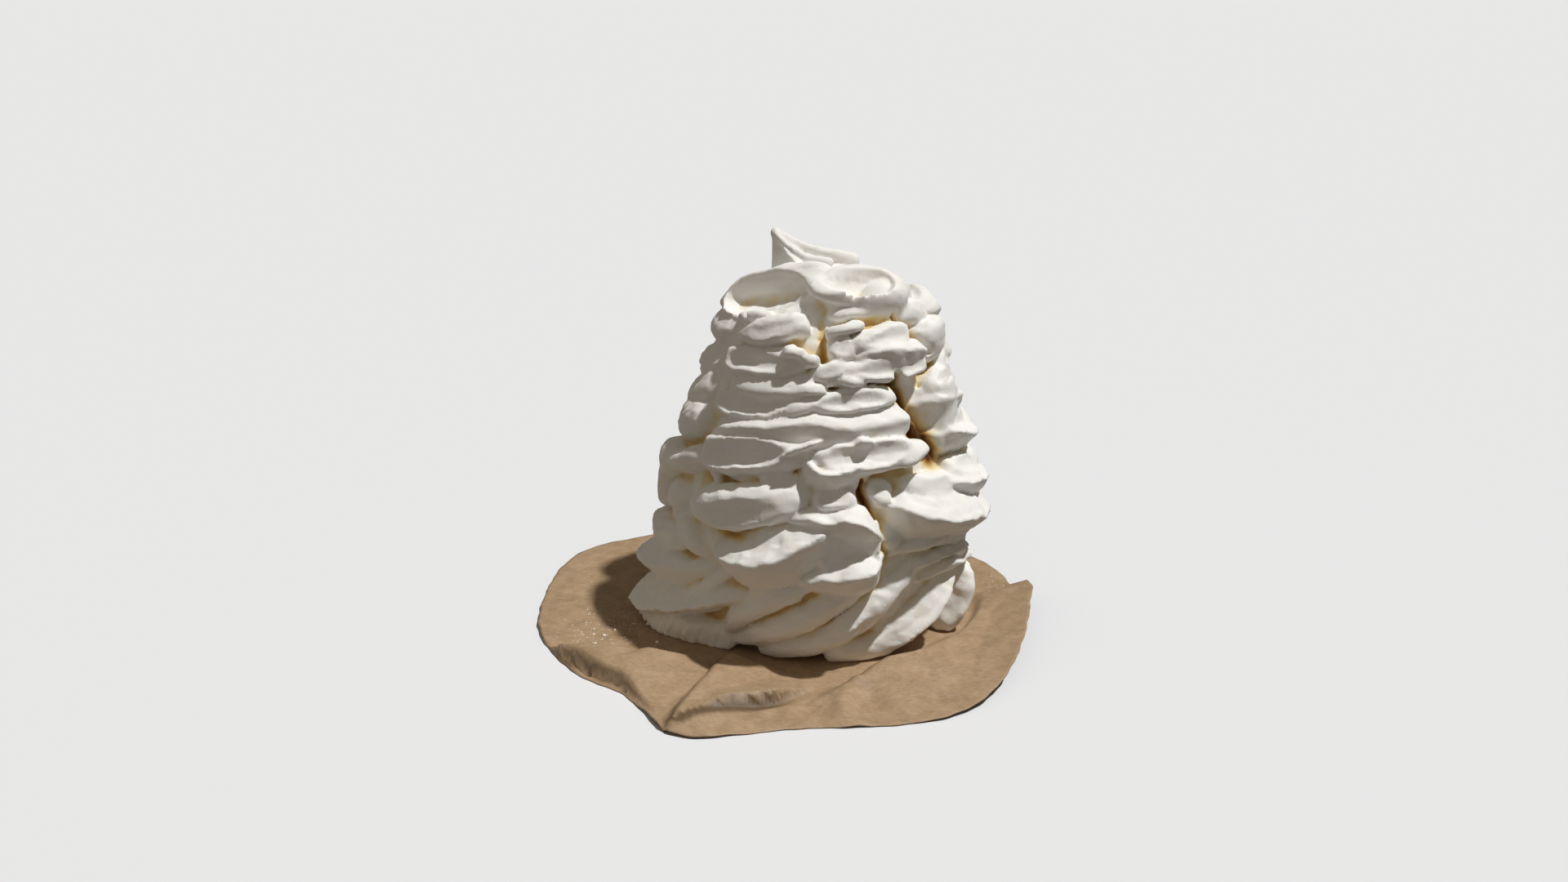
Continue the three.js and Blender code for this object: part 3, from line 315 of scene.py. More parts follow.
def ledge(points, up, down, rise, scoop=0, crisp=0.7, blend=0.4):
    """a shelf along a lip of (turn, height, reach) points: its top falls back by up, its underside by down"""
    line = rounded([(at, arc_at(height), reach) for at, height, reach in points], 2)
    middle, (lo, hi) = line[:, 0].mean(), (line[:, 1].min(), line[:, 1].max())
    across = radius_at((lo + hi) / 2) + 3
    dt = turned(turn, middle)
    deep = line[:, 2].max() / down
    m = np.flatnonzero((np.abs(dt) < np.abs(line[:, 0] - middle).max() + 8) & (arc < hi + rise + 2)
                       & (arc > lo - deep - 2))
    path = np.stack([(line[:, 0] - middle) * (math.pi / 180 * across), line[:, 1]], 1)
    d, side, part, length = along_line(path, dt[m] * (math.pi / 180 * across), arc[m])
    gone = np.concatenate([[0], np.cumsum(np.hypot(*np.diff(path, axis=0).T))]) / length
    reach = np.interp(part, gone, line[:, 2])
    past = np.sqrt(np.maximum(d * d - side * side, 0))
    w = out[m] - reach + 1.5 * past
    top = (w + up * side + scoop * np.sin(math.pi * np.clip(side / rise, 0, 1))) / math.hypot(1, up)
    under = (w - down * side) / math.hypot(1, down)
    shape = np.maximum(soft_cut(top, under, crisp), side - rise)
    lay(m, np.clip(shape, -6, 12), blend, part * length, side)


off_line = along_line(np.array([(0, 0), (10, 0)], float), np.array([4.0]), np.array([3.0]))[0][0]
print("4 mm along a straight line and 3 mm beside it:", float(off_line), "mm off")

# %% [markdown]
# Unrolling breaks down on top, where all the turns meet. So a crown spoonful is a band that looks up by
# so many degrees, and a spoonful and a scoop lie straight in open space, one laid on and one taken out.

# %% Crown, spoonful and scoop
def crown(at, across, z, face, half, rise, tilt=0, reach=5, hollow=0, depth=6, ends=(3, 3), blend=0.5,
          sharp=0.6, rim=1.1):
    """a band on the top, whose face looks up by so many degrees"""
    a = turned(turn, at) * (math.pi / 180 * across)
    m = np.flatnonzero((np.abs(a) < half + 5) & (pz > z - rise - 14) & (pz < z + rise + 16))
    cf, sf = math.cos(math.radians(face)), math.sin(math.radians(face))
    ct, st = math.cos(math.radians(tilt)), math.sin(math.radians(tilt))
    dr, dz = radius[m] - across, pz[m] - z
    b = -dr * sf + dz * cf
    u = a[m] * ct + b * st
    v = -a[m] * st + b * ct
    w = dr * cf + dz * sf
    cut = lump(u, v, w - (reach + hollow), half - rim, rise - rim * 0.5, hollow * 2, ends) if hollow else None
    lay(m, lump(u, v, w - (reach - depth), half, rise, depth, ends), blend, u, v, cut, sharp)


def in_space(centre, way, tilt, face, far):
    """the points near a centre, and their place along, up and out from a face with this heading and slope"""
    cw, sw, ct, st = (f(math.radians(g)) for g in (way, tilt) for f in (math.cos, math.sin))
    along = np.array([cw * ct, sw * ct, st])
    cf, sf = math.cos(math.radians(face)), math.sin(math.radians(face))
    look = np.array([sw * cf, -cw * cf, sf])
    look = look - along * (look @ along)
    look = look / np.linalg.norm(look)
    m = np.flatnonzero((np.abs(px - centre[0]) < far) & (np.abs(py - centre[1]) < far)
                       & (np.abs(pz - centre[2]) < far))
    p = np.stack([plain_x[m] - centre[0], plain_y[m] - centre[1], plain_z[m] - centre[2]])
    return m, along @ p, np.cross(look, along) @ p, look @ p


def spoonful(centre, way, tilt, face, half, rise, depth=7, ends=(3, 3), blend=0.5, boxy=3.5):
    """a straight spoonful in open space: the middle of its face, its heading, its slope, how far it looks up"""
    m, u, v, w = in_space(centre, way, tilt, face, half + rise + 8)
    lay(m, lump(u, v, w + depth, half, rise, depth, ends, boxy), blend, u, v)


def scoop(centre, way, tilt, face, half, rise, deep, ends=(2.4, 2.4), sharp=0.5, boxy=3):
    """what the spoon took out again: the middle of the bowl of the spoon, and its half sizes"""
    m, u, v, w = in_space(centre, way, tilt, face, half + rise + 6)
    cut = lump(u, v, w, half, rise, deep, ends, boxy)
    close = np.abs(cut) < 1.5
    dist[m] = soft_cut(dist[m], -cut, sharp)
    stroke_u[m[close]], stroke_v[m[close]] = u[close], v[close] + strokes * STROKE_GAP


print("points near the middle of the top", len(in_space((0, 0, 107), 0, 0, 90, 20)[0]))

# %% [markdown]
# A crack opens where the skin dried and pulled apart. The peak is what the spoon left when it was lifted
# off: a spike, thin at its tip, with ridges that curl down from it. Short straight rods with soft joins
# do for these, since a few in a row make a curl.

# %% Crack and peak
PEAK_FROM = 98                              # mm; the peak's strokes touch nothing under this height


def crack(points, width, depth):
    """an open crack along (turn, height) points, so wide to each side and so deep into the core"""
    for (t0, h0), (t1, h1) in zip(points[:-1], points[1:]):
        a0, a1, start = arc_at(h0), arc_at(h1), arc_at((h0 + h1) / 2)
        ds = math.radians(t1 - t0) * (radius_at((a0 + a1) / 2) + 3)
        length = math.hypot(ds, a1 - a0)
        ex, ey = ds / length, (a1 - a0) / length
        u = turned(turn, (t0 + t1) / 2) * (math.pi / 180 * (radius_at(start) + 3))
        far = length / 2 + width * 2 + 4
        m = np.flatnonzero((np.abs(u) < far) & (np.abs(arc - start) < far))
        u, v = u[m], arc[m] - start
        d = np.hypot(np.maximum(np.abs(u * ex + v * ey) - length / 2, 0), -u * ey + v * ex)
        dist[m] = soft_cut(dist[m], -np.maximum(d - width, -(out[m] + depth)), 0.8)


def rod(m, a, b, ra, rb):
    """distance to a straight rod that tapers from one radius to another"""
    d = np.subtract(b, a)
    p = np.stack([px[m] - a[0], py[m] - a[1], pz[m] - a[2]])
    k = np.clip(np.tensordot(d, p, 1) / (d @ d), 0, 1)
    return np.sqrt(sum((p[i] - k * d[i]) ** 2 for i in range(3))) - (ra + (rb - ra) * k)


def spike(a, b, ra, rb, blend):
    """a straight tapering point of meringue"""
    m = np.flatnonzero(pz >= PEAK_FROM)
    dist[m] = soft_join(dist[m], rod(m, a, b, ra, rb), blend)


def ridge(points, radii, blend):
    """a thin curling ridge along (x, y, z) points"""
    m = np.flatnonzero(pz >= PEAK_FROM)
    d = rod(m, points[0], points[1], radii[0], radii[1])
    for i in range(2, len(points)):
        d = soft_join(d, rod(m, points[i - 1], points[i], radii[i - 1], radii[i]), 0.6)
    dist[m] = soft_join(dist[m], d, blend)


print("points that the peak can touch", int((pz >= PEAK_FROM).sum()))

# %% [markdown]
# ## The spoonfuls, from the foot up
# Each line below is one mark: its turn round the axis, its height, half its length and half its height,
# then how it is tilted and how far it stands out. They are laid in the order in which they overlap.
#
# ### The foot
# The foot is wider than the tower, and its folds sweep up to the right: the spoon went round one way as
# it smoothed the pile down onto the paper. At the left two shelves droop outwards where the mix slid.

# %% The foot
# swept folds of the foot, all round the back
for k in range(10):
    a = 78 + 22 * k
    fold([(a, -1), (a + 14, 4), (a + 28, 10), (a + 40, 18), (a + 50, 27)], 5.2, 5.5, lean=-0.3)
# left foot: a spread base with a lip of its own, then two drooping shelves
ledge([(-112, 4, 8), (-96, 6, 14), (-80, 7.5, 17), (-66, 6, 16), (-53, 3.4, 13.5), (-46, 3, 9.5),
       (-36, 3.5, 6.5)], up=0.8, down=3, rise=6)
ledge([(-124, 7, 4), (-104, 8.5, 12), (-90, 9.5, 17.5), (-76, 10.8, 19.5), (-60, 12.2, 14), (-46, 16.4, 10),
       (-33, 19.8, 7.5), (-25, 21.5, 3.5)], up=2.4, down=1.7, rise=5, scoop=0.6)
band(-84, 27, 15, 4.6, reach=7, hollow=0.8, lean=0.2, ends=(2.6, 2.2), blend=0.6)
ledge([(-118, 15, 4), (-98, 20, 11), (-78, 21.4, 13.5), (-64, 22.5, 9.5), (-50, 25, 6), (-42, 27, 2.5)],
      up=1.7, down=0.8, rise=5, scoop=0.8)
band(-66, 29, 11, 4.4, tilt=18, reach=5.5, hollow=1.2, lean=0.2, ends=(2.2, 2.2), blend=0.6)
band(-54, 34, 10, 3.2, tilt=-30, reach=4.6, hollow=1, lean=0.1, ends=(2, 2), blend=0.6)
# front foot: folds sweeping up to the right, the lowest two deepest, and a leaf at the right
fold([(-28, 20), (-19, 24.5), (-10, 30), (-4, 33)], 3.2, 4.4, lean=0.1)
fold([(-43, 4), (-34, 11), (-24, 17), (-13, 22), (-4, 26), (6, 29)], 4.6, 5.6, lean=-0.2)
fold([(-36, 4), (-20, 9), (-7, 14), (3, 19), (10, 23), (16, 27), (21, 31)], 4.8, 5.8,
     lean=-0.2, ends=(0.6, 0.3))
fold([(-22, 4), (-8, 5), (3, 8), (12, 13.5), (20, 18), (26, 22), (32, 26.5), (38, 29.5)], 4.8, 5.6,
     lean=-0.2, ends=(0.8, 0.35))
fold([(6, 4), (18, 3.5), (30, 6), (40, 10.5), (50, 15), (55, 20), (60, 24.5)], 4.8, 5.8,
     lean=-0.2, ends=(0.9, 0.4))
ledge([(-1, 8, 4), (5, 10, 7), (10.5, 13.4, 7.6), (16, 17.6, 6), (21, 22, 3)], up=1.1, down=0.9, rise=4)
ledge([(22, 5.5, 4.5), (30, 7, 7.5), (40, 11.5, 8), (49, 16, 7), (56, 21, 4), (60, 24, 1.5)],
      up=1, down=0.9, rise=5)
ledge([(3, 20.5, 3), (7, 23, 5.6), (11, 26, 5), (14.4, 29, 2.5)], up=1.2, down=0.7, rise=3)
band(68, 10, 11.5, 4.6, tilt=66, reach=7.5, hollow=1.2, lean=-0.35, ends=(2.6, 2.3), blend=0.5)
fold([(26, 33.5), (36, 35), (51, 34), (70, 30.5)], 2.2, 4.6, lean=-0.2, blend=0.6)
fold([(31, 28), (40, 29.5), (52, 30), (72, 27)], 2.2, 4.8, lean=-0.2, blend=0.6)
fold([(40, 22), (50, 25.5), (62, 26), (80, 22)], 2.2, 4.4, lean=-0.2, blend=0.6)
print("strokes of the foot", strokes)

# %% [markdown]
# ### Ledges of the lower front
# Thin ledges were dragged to the right off the edge of the spoon, so each ends there in a small beak.
# The big lobe at the right is the widest place of the whole tower and overhangs the foot.

# %% Ledges of the lower front
band(9, 36.5, 9.5, 7, reach=7, hollow=2.2, lean=0.2, ends=(3, 6), blend=0.4)
ledge([(-38, 33.4, 4.5), (-31, 33, 8.5), (-22, 32.6, 11), (-16.5, 33.6, 12), (-10, 36.2, 11.6),
       (-4, 39.4, 10.5), (2, 42.6, 9), (7, 44.5, 5)], up=1.15, down=0.9, rise=9, scoop=1)
ledge([(-5.5, 28.6, 5.5), (0, 29.2, 8.6), (5, 30.6, 10.6), (10, 31.2, 11.6), (14.6, 32, 12), (18, 33, 9)],
      up=1.5, down=1.1, rise=5, scoop=0.4)
band(-2, 46, 10.5, 3, tilt=4, reach=6, lean=0.5, ends=(2, 2.6))
ledge([(-9, 45, 4), (-2, 45, 8.6), (4, 44.4, 10), (8.6, 45, 11.2), (12, 44.6, 11.6), (15.4, 42.6, 11),
       (18.6, 40.4, 8)], up=1.7, down=1.2, rise=4.5, scoop=0.5)
band(5, 51, 6.5, 3.6, tilt=3, reach=6, hollow=0.8, lean=0.5)
# right: crumbly lumps, then the big overhanging lobe, widest place of all
band(27, 41, 6, 6.5, tilt=-5, reach=1.8, ends=(2.5, 2.5), blend=0.6)
band(23, 51, 4.6, 4.6, tilt=-11, reach=3.5, ends=(2.5, 2.5), blend=0.6)
ledge([(25.5, 46.5, 4.5), (31, 44.6, 9.5), (40, 42, 11.5), (52, 39.8, 11.5), (66, 37.4, 9.6), (80, 35, 7.6),
       (96, 33, 7), (112, 33, 3.5)], up=0.75, down=1.3, rise=9, scoop=0.6)
band(45, 50.5, 11, 3.6, tilt=-6, reach=6, lean=0.3, hollow=0.6, ends=(2.6, 3))
band(71, 49.5, 13, 5, tilt=-18, reach=6.4, hollow=2.2, lean=0.4, up=0.4)
ledge([(49, 51, 3.5), (57, 48.5, 9), (68, 46, 9.5), (80, 44, 8.5), (94, 43, 7), (108, 44, 3)],
      up=1.2, down=1.2, rise=4, scoop=0.4)
# left edge, bottom to top
band(-80, 50.5, 10, 5.5, reach=7, lean=0.1, ends=(2.5, 2.5), blend=0.6, boxy=2.2)
fold([(-88, 36), (-84, 44), (-75, 50), (-63, 53.5), (-52, 56), (-44, 55), (-41, 51)], 4.2, 6.2,
     ends=(0.8, 0.5), blend=0.6)
band(-68, 42, 9, 5, tilt=8, reach=3.6, lean=0.1, ends=(2.3, 2.3), blend=0.6)
# the big lens-shaped spoonful and the half-covered ones beside it
band(-28, 46.8, 20.5, 6.8, tilt=11, reach=8.2, hollow=1.3, lean=0.1, ends=(2, 2.1), up=-0.15, rim=1.6,
     bend=0.5, blend=0.3, boxy=2.3)
band(-14, 55, 10, 3.2, tilt=-14, reach=5, hollow=0.8, ends=(2.5, 2), blend=0.4)
band(4, 55, 8.5, 2.8, tilt=-12, reach=4, hollow=0.5, ends=(2, 2), blend=0.4)
band(-31, 56, 7, 3.4, tilt=6, reach=3, ends=(2.5, 2.5), blend=0.8)
band(-71, 64.5, 10, 7.5, tilt=10, reach=5.8, lean=0.1, ends=(2.3, 2.3), blend=0.8, boxy=2.3)
band(-76, 73, 13, 6, tilt=24, reach=3.8, ends=(2.3, 2.3), blend=1)
band(-80, 82, 16, 7, tilt=12, reach=1.8, ends=(2.3, 2.3), blend=0.8)
band(-82, 94, 14, 7.5, tilt=0, reach=1.8, ends=(3, 3), blend=0.6)
print("strokes with the lower front", strokes)

# %% [markdown]
# ### The middle
# The long bands in the middle are the clearest marks of the spoon: a scoop along each face, with a sharp
# rim above it and a thin lip below it that catches the light.

# %% The middle
ledge([(-50, 62.4, 4), (-40, 66, 7.4), (-28, 67.8, 8.4), (-14, 68.8, 8.4), (-3, 70, 8), (10, 68.4, 8.2),
       (24, 69, 8), (36, 69.6, 7)], up=0.95, down=0.6, rise=5)
band(-26, 60.6, 18.5, 6, tilt=8, reach=8.4, hollow=3.2, lean=-0.04, ends=(3, 2), rim=1.2, shift=-1.5,
     blend=0.3)
fold([(-18, 60), (-10, 62.6), (-3, 65), (4, 67.6)], 1.6, 9.4, lean=0.3, blend=0.8)
band(18, 60.8, 15.5, 5, tilt=2, reach=8.8, hollow=3.2, lean=-0.04, ends=(3, 2.6), rim=1.1, up=0.3,
     blend=0.3)
band(15.5, 64.6, 1.5, 2.3, tilt=75, reach=9.6, ends=(2.2, 2.2), blend=0.9)
ledge([(-4, 60, 7), (-1, 57, 10), (5, 56.4, 10.4), (12, 58, 9.6), (18, 59.8, 7)], up=1.6, down=1.3, rise=3)
band(34.5, 59.6, 7.5, 2.6, tilt=20, reach=8.4, lean=0.6, ends=(2, 2.2), blend=0.5)
band(-26, 74, 16.6, 4.2, tilt=8, reach=7, hollow=2.2, lean=0.24, ends=(3.5, 2.2), shift=-1.2, bend=0.8,
     blend=0.3)
band(15.5, 76, 13.5, 3.8, tilt=3, reach=7, hollow=2, lean=0.24, ends=(3, 2.4), blend=0.3)
band(-9, 74.4, 7.5, 2.8, tilt=22, reach=6.8, lean=0.5, ends=(2, 2.4), blend=0.5)
band(-5, 79.4, 5.2, 2.2, tilt=5, reach=7, lean=0.2, ends=(2.2, 3), blend=0.6)
band(-22, 79.8, 15, 4.4, tilt=5, reach=6.2, lean=0.45, blend=0.6)
# upper front
band(14, 81.4, 4.4, 2, tilt=-8, reach=7.4, lean=0.3, ends=(2.2, 2.2), blend=0.6)
band(7, 82.6, 6, 2.6, tilt=6, reach=5, lean=0.3, blend=0.8)
band(4, 84.4, 7, 2.8, tilt=14, reach=6, hollow=0.6, lean=0.3, ends=(2, 2.4), blend=0.5)
band(32, 83.6, 15.5, 3.7, tilt=-1, reach=7.2, hollow=1.9, lean=0.16, ends=(2.4, 3.2), bend=0.6, blend=0.3)
ledge([(17, 87.4, 5), (28, 88, 8), (40, 88, 8.6), (52, 87.4, 8), (58, 86, 5)], up=1.2, down=0.8, rise=3)
band(11, 90, 5.3, 3.6, tilt=10, reach=5, hollow=1.2, lean=0.3, ends=(2.5, 2), blend=0.4)
band(32, 91.2, 11, 3.4, tilt=9, reach=6.8, hollow=1.7, lean=0.14, ends=(2.2, 2.8), bend=0.4, blend=0.3)
band(13, 94.2, 8, 1.8, tilt=9, reach=5.8, lean=0.3, ends=(2, 2), blend=0.5)
band(-28, 85.8, 14.4, 4.7, tilt=5, reach=6.6, hollow=2.2, lean=0.26, ends=(3, 2.2), shift=-1, blend=0.3)
band(-12, 88.6, 3.3, 1.7, tilt=-10, reach=8.6, lean=0.2, ends=(2.5, 3), blend=0.6)
band(-5, 87, 2.6, 1.7, tilt=10, reach=7.6, ends=(2.5, 3), blend=0.6)
# right flank: a torn wall beside the crack, short scalloped bands, then the blocky upper lobes
spoonful((33, -23.4, 68), -7, 90, 2, 12.5, 6, depth=9, blend=0.8, boxy=3)
band(78, 75.5, 15, 4.4, tilt=-11, reach=5.8, hollow=0.8, lean=0.3, ends=(2.3, 3))
ledge([(55, 72.4, 8.6), (60, 72, 9.8), (66, 71, 9), (78, 69, 7.8), (92, 66.6, 7), (106, 66, 3)],
      up=1.2, down=0.9, rise=3.4)
band(80, 62.4, 14, 4.4, tilt=-6, reach=5.4, hollow=0.7, lean=0.1, ends=(3, 3))
ledge([(57, 62, 8.4), (62, 61, 9.6), (70, 58.6, 9), (82, 56.4, 9), (96, 55, 7.6), (110, 56, 3)],
      up=1.1, down=1.6, rise=3.4)
band(86, 80, 9, 3.6, reach=5.4, hollow=0.8)
band(70, 87.4, 9.5, 6.4, tilt=-2, reach=7, lean=-0.35, ends=(2.8, 2.8), blend=0.4)
band(66, 95.4, 8.5, 3.6, tilt=-10, reach=5, lean=-0.2, ends=(2.6, 2.6), blend=0.5)
# petals and torn walls under the crown
band(-27.6, 93.2, 12, 3.5, tilt=13, reach=6.8, hollow=1, lean=0.16, ends=(1.9, 3.2), taper=0.2, bend=0.5,
     blend=0.3)
band(24, 98.6, 11, 3.2, reach=3.6, lean=0.1, ends=(2.5, 2.5), blend=0.6)
band(-42, 97, 9, 2.6, tilt=6, reach=3, ends=(2.5, 2.5), blend=0.6)
print("strokes with the middle", strokes)

# %% [markdown]
# ### The back
# The same hand went all the way round, so the back gets columns of bands by a rule, each with its own
# small seeded change of length, tilt and depth.

# %% The back
FIRST_TURN, NEXT_TURN = 108, 29             # degrees to the first column, and from each to the next
TOP_BAND = 95                               # mm; no band of the back lies higher
for column in range(5):
    height = 31 + 2.3 * column
    for level in range(9):
        seed = 16 * column + level
        rise = 4.4 + 1.5 * roll(seed, 1) - 0.5
        if height < TOP_BAND:
            half = 21 - 0.09 * height + 3 * roll(seed, 3)
            band(FIRST_TURN + NEXT_TURN * column + 10 * roll(seed, 2) - 5, height, half, rise,
                 tilt=13 * roll(seed, 4) - 4, reach=5.6 + 2.2 * roll(seed, 5),
                 hollow=0.8 + 1.4 * roll(seed, 6), lean=0.4,
                 ends=(2.1 + 1.3 * roll(seed, 7), 2.1 + roll(seed, 8)), bend=1.6 * roll(seed, 9) - 0.6)
        height = height + 1.9 * rise
print("strokes with the back", strokes)

# %% [markdown]
# ### The crown
# Big spoonfuls close the top, turned up to face the sky, and the last one was pulled up into a peak that
# fell over to the left.

# %% The crown
for k in range(4):
    crown(97 + 41 * k, 20, 98, 44, 13, 6.5, tilt=6, reach=5, hollow=1.8, ends=(3, 2.4))
crown(150, 8, 102, 66, 12, 6, reach=4, hollow=0.5, ends=(2.5, 2.5), blend=0.6)
# the dome behind, the big left dish, the slab, then the deep right bowl and the tongue that lies in it
spoonful((-1, 5, 107.6), 0, 0, 90, 15, 12, depth=8, blend=1.5, boxy=2.4)
spoonful((-14.6, -12.6, 105.6), -19, 16, 55, 18.4, 9.4, depth=10, ends=(3, 3), blend=0.5)
scoop((-17.2, -13.6, 104.9), -28, 12, -9, 14.4, 8, 6.6, ends=(3, 2.2), sharp=0.4, boxy=4)
scoop((-2, -16, 113.5), -16, 16, 50, 10, 6.5, 4.2, sharp=0.6, boxy=2.2)
spoonful((12.4, -25, 103.6), 22, -4, -6, 13.5, 3, depth=9, ends=(3, 2.6), blend=0.4)
spoonful((12.6, -16.6, 109.3), 20, -7, 76, 13.6, 10.2, depth=7.6, ends=(1.8, 2.8), blend=0.4)
scoop((10.6, -19, 111.4), 17, -5, 14, 11, 9.4, 6.4, ends=(2.4, 2.6), sharp=0.3, boxy=3.4)
spoonful((20, -14.8, 105.8), 44, 2, 60, 9.4, 5.8, depth=7, ends=(2, 2.6), blend=0.4, boxy=2.4)
# drying cracks; the tall one beside the torn wall narrows half-way down
TALL_CRACK = [(35.5, 81), (38, 76), (40.5, 71.5), (43.5, 65.5), (47, 58)]
crack([(45, 96.5), (52, 93.5), (57, 88.5), (61, 85)], 0.8, 4)
crack(TALL_CRACK[:3], 2.0, 9)
crack(TALL_CRACK[2:], 1.6, 10)
crack([(16, 54.5), (15, 52), (17, 49), (19, 45)], 1.1, 5)
crack([(0, 97.5), (1, 92.5), (1, 88)], 0.8, 0.5)
crack([(-48, 97), (-44, 93.5)], 0.7, 2)
# the peak: a leaning spike with two curling ridges
spike((-7, 4, 102), (-13.4, 3, 116), 8.5, 1.3, 1.5)
ridge([(-13.8, 2.4, 117), (-11.4, 0, 114.8), (-8, -2, 112.4), (-4, -3, 110.4), (2, -4, 109.4)],
      [0.9, 0.9, 1, 1.3, 1.6], 1)
ridge([(-13.6, 3.6, 117.4), (-10.4, 4, 115.6), (-5.6, 5, 112.6), (-1, 5, 111), (4, 5, 109.8), (9, 5, 108.4)],
      [1, 0.9, 1.1, 1.4, 1.8, 2.4], 1.6)
print("strokes with the crown", strokes)

# %% [markdown]
# ## The dried skin
# Up close the outer skin is smooth, with faint lines along each stroke of the spoon, and where it tore
# it is crumbly. The tear is deepest between the bands, so the crumb grows as the skin nears the core.

# %% Crumb and stroke lines
bent, grain = crumb(px, py, pz, 5.1), crumb(pz, px, py, 3.3)


def drag(at, height, half, tall, way, pitch, deep):
    """fine grooves dragged over one patch of skin: their way, in degrees from level, and the mm between them"""
    start = arc_at(height)
    a = turned(plain_turn, at) * (math.pi / 180 * (radius_at(start) + 4))
    m = np.flatnonzero((np.abs(a) < half) & (np.abs(plain_arc - start) < tall) & (np.abs(dist) < 2.5))
    a, b = a[m], plain_arc[m] - start
    inside = np.clip((1 - np.hypot(a / half, b / tall)) * 2, 0, 1)
    c, s = math.cos(math.radians(way)), math.sin(math.radians(way))
    across = (b * c - a * s + 0.5 * bent[m]) * (2 * math.pi / pitch)
    ruled = np.sin(across) + 0.7 * np.sin(across / 0.61 + 1 + 0.3 * (a * c + b * s))
    marks[m] += inside * deep * ruled * (0.6 + 0.4 * grain[m])


torn = np.clip((2.6 - out) / 3.0, 0, 1)
edge = np.clip(1 - np.abs(dist) / 2.5, 0, 1)
bumps = (0.5 * crumb(px, py, pz, 4.6) + 0.35 * np.abs(crumb(px, py, pz * 0.6, 2.4))
         + 0.22 * crumb(px, py, pz * 0.7, 1.5))
dist = dist + edge * bumps * (0.12 + 0.7 * torn)
marks = np.zeros_like(dist)
# the middle's turn and height, half length and half height, then way, gap and depth of the grooves
for mark in ((-60, 6, 24, 9, 62, 2.4, 0.3), (-84, 4, 16, 7, 70, 2.2, 0.25), (-25, 74.5, 15, 4, 84, 1.5, 0.16),
             (-26, 62.5, 16, 5, 80, 1.7, 0.1), (16, 75.5, 12, 4, 86, 1.8, 0.1), (-26, 99, 16, 9, 60, 1.9, 0.2),
             (-5, 103, 12, 7, 52, 1.6, 0.2), (14, 105, 12, 7, 78, 1.6, 0.1), (56, 32, 20, 7, -14, 2.6, 0.3),
             (64, 24, 18, 9, -20, 2.8, 0.3), (30, 12, 26, 9, 32, 3, 0.22), (0, 12, 26, 9, 28, 3, 0.2),
             (-24, 27, 14, 6, 40, 2.4, 0.2), (72, 60, 14, 8, 76, 2, 0.16), (82, 45, 14, 5, 70, 2, 0.14),
             (-30, 46, 18, 5, 20, 2.4, 0.12), (-74, 30, 16, 8, 30, 2.2, 0.22), (-72, 64, 10, 8, 50, 2.3, 0.2),
             (170, 40, 60, 30, 12, 2.8, 0.16), (-140, 70, 40, 24, 8, 2.6, 0.16),
             (120, 74, 40, 24, 6, 2.6, 0.16)):
    drag(*mark)
dist = dist + edge * marks
lines = (np.sin(stroke_v * 2.4 + 1.3 * np.sin(stroke_u * 0.16) + stroke_v // STROKE_GAP)
         + 0.6 * np.sin(stroke_v * 4.1 + 1.9 * np.sin(stroke_u * 0.21)))
dist = dist + edge * 0.07 * lines
print("skin torn over", round(float(torn[np.abs(dist) < 0.5].mean()), 2))

# %% [markdown]
# ## From the field to a mesh
# Marching cubes would do, but leaves thin slivers. Surface nets put one point in each grid cell that the
# skin crosses, at the mean of the crossings, and join neighbours with four-sided faces: smoother, and
# even. A Decimate modifier then takes out the points that flat areas don't need.

# %% Surface nets
def surface_nets(values):
    """points in mm and four-sided faces of the surface where the values change sign"""
    inside = values < 0
    size = np.array(inside.shape) - 1
    corners = [(i, j, k) for i in (0, 1) for j in (0, 1) for k in (0, 1)]
    count = sum(inside[i:size[0] + i, j:size[1] + j, k:size[2] + k].astype(np.int8) for i, j, k in corners)
    crossed = (count > 0) & (count < 8)
    cells = np.argwhere(crossed)
    ids = np.full(crossed.shape, -1, np.int64)
    ids[crossed] = np.arange(len(cells))
    total, hits = np.zeros((len(cells), 3)), np.zeros(len(cells))
    value = {c: values[cells[:, 0] + c[0], cells[:, 1] + c[1], cells[:, 2] + c[2]] for c in corners}
    for c in corners:
        for axis in range(3):
            if c[axis]:
                continue
            other = tuple(1 if i == axis else v for i, v in enumerate(c))
            cross = (value[c] < 0) != (value[other] < 0)
            point = np.tile(np.array(c, float), (int(cross.sum()), 1))
            point[:, axis] += value[c][cross] / (value[c][cross] - value[other][cross])
            total[cross] += point
            hits[cross] += 1
    points = (cells + total / hits[:, None]) * GRID + np.array(LOW)
    faces = []
    for axis in range(3):
        low = [slice(1, -1)] * 3
        high = list(low)
        low[axis], high[axis] = slice(0, -1), slice(1, None)
        a, b = inside[tuple(low)], inside[tuple(high)]
        u, v = [(1, 2), (2, 0), (0, 1)][axis]
        for flip, mask in ((False, a & ~b), (True, ~a & b)):
            edge_at = np.argwhere(mask) + [0 if i == axis else 1 for i in range(3)]
            quad = []
            for du, dv in ((1, 1), (0, 1), (0, 0), (1, 0)):
                cell = edge_at.copy()
                cell[:, u] -= du
                cell[:, v] -= dv
                quad.append(ids[cell[:, 0], cell[:, 1], cell[:, 2]])
            faces.append(np.stack(quad[::-1] if flip else quad, 1))
    return points, np.concatenate(faces)


def biggest_piece(points, faces):
    """keep the one body, and drop any crumb that floats clear of it"""
    label = np.arange(len(points))
    for _ in range(400):
        low = label[faces].min(1)
        new = label.copy()
        for k in range(4):
            np.minimum.at(new, faces[:, k], low)
        new = new[new]
        if (new == label).all():
            break
        label = new
    largest = np.bincount(label[faces[:, 0]]).argmax()
    keep = faces[label[faces[:, 0]] == largest]
    used, index = np.unique(keep, return_inverse=True)
    return points[used], index.reshape(keep.shape)


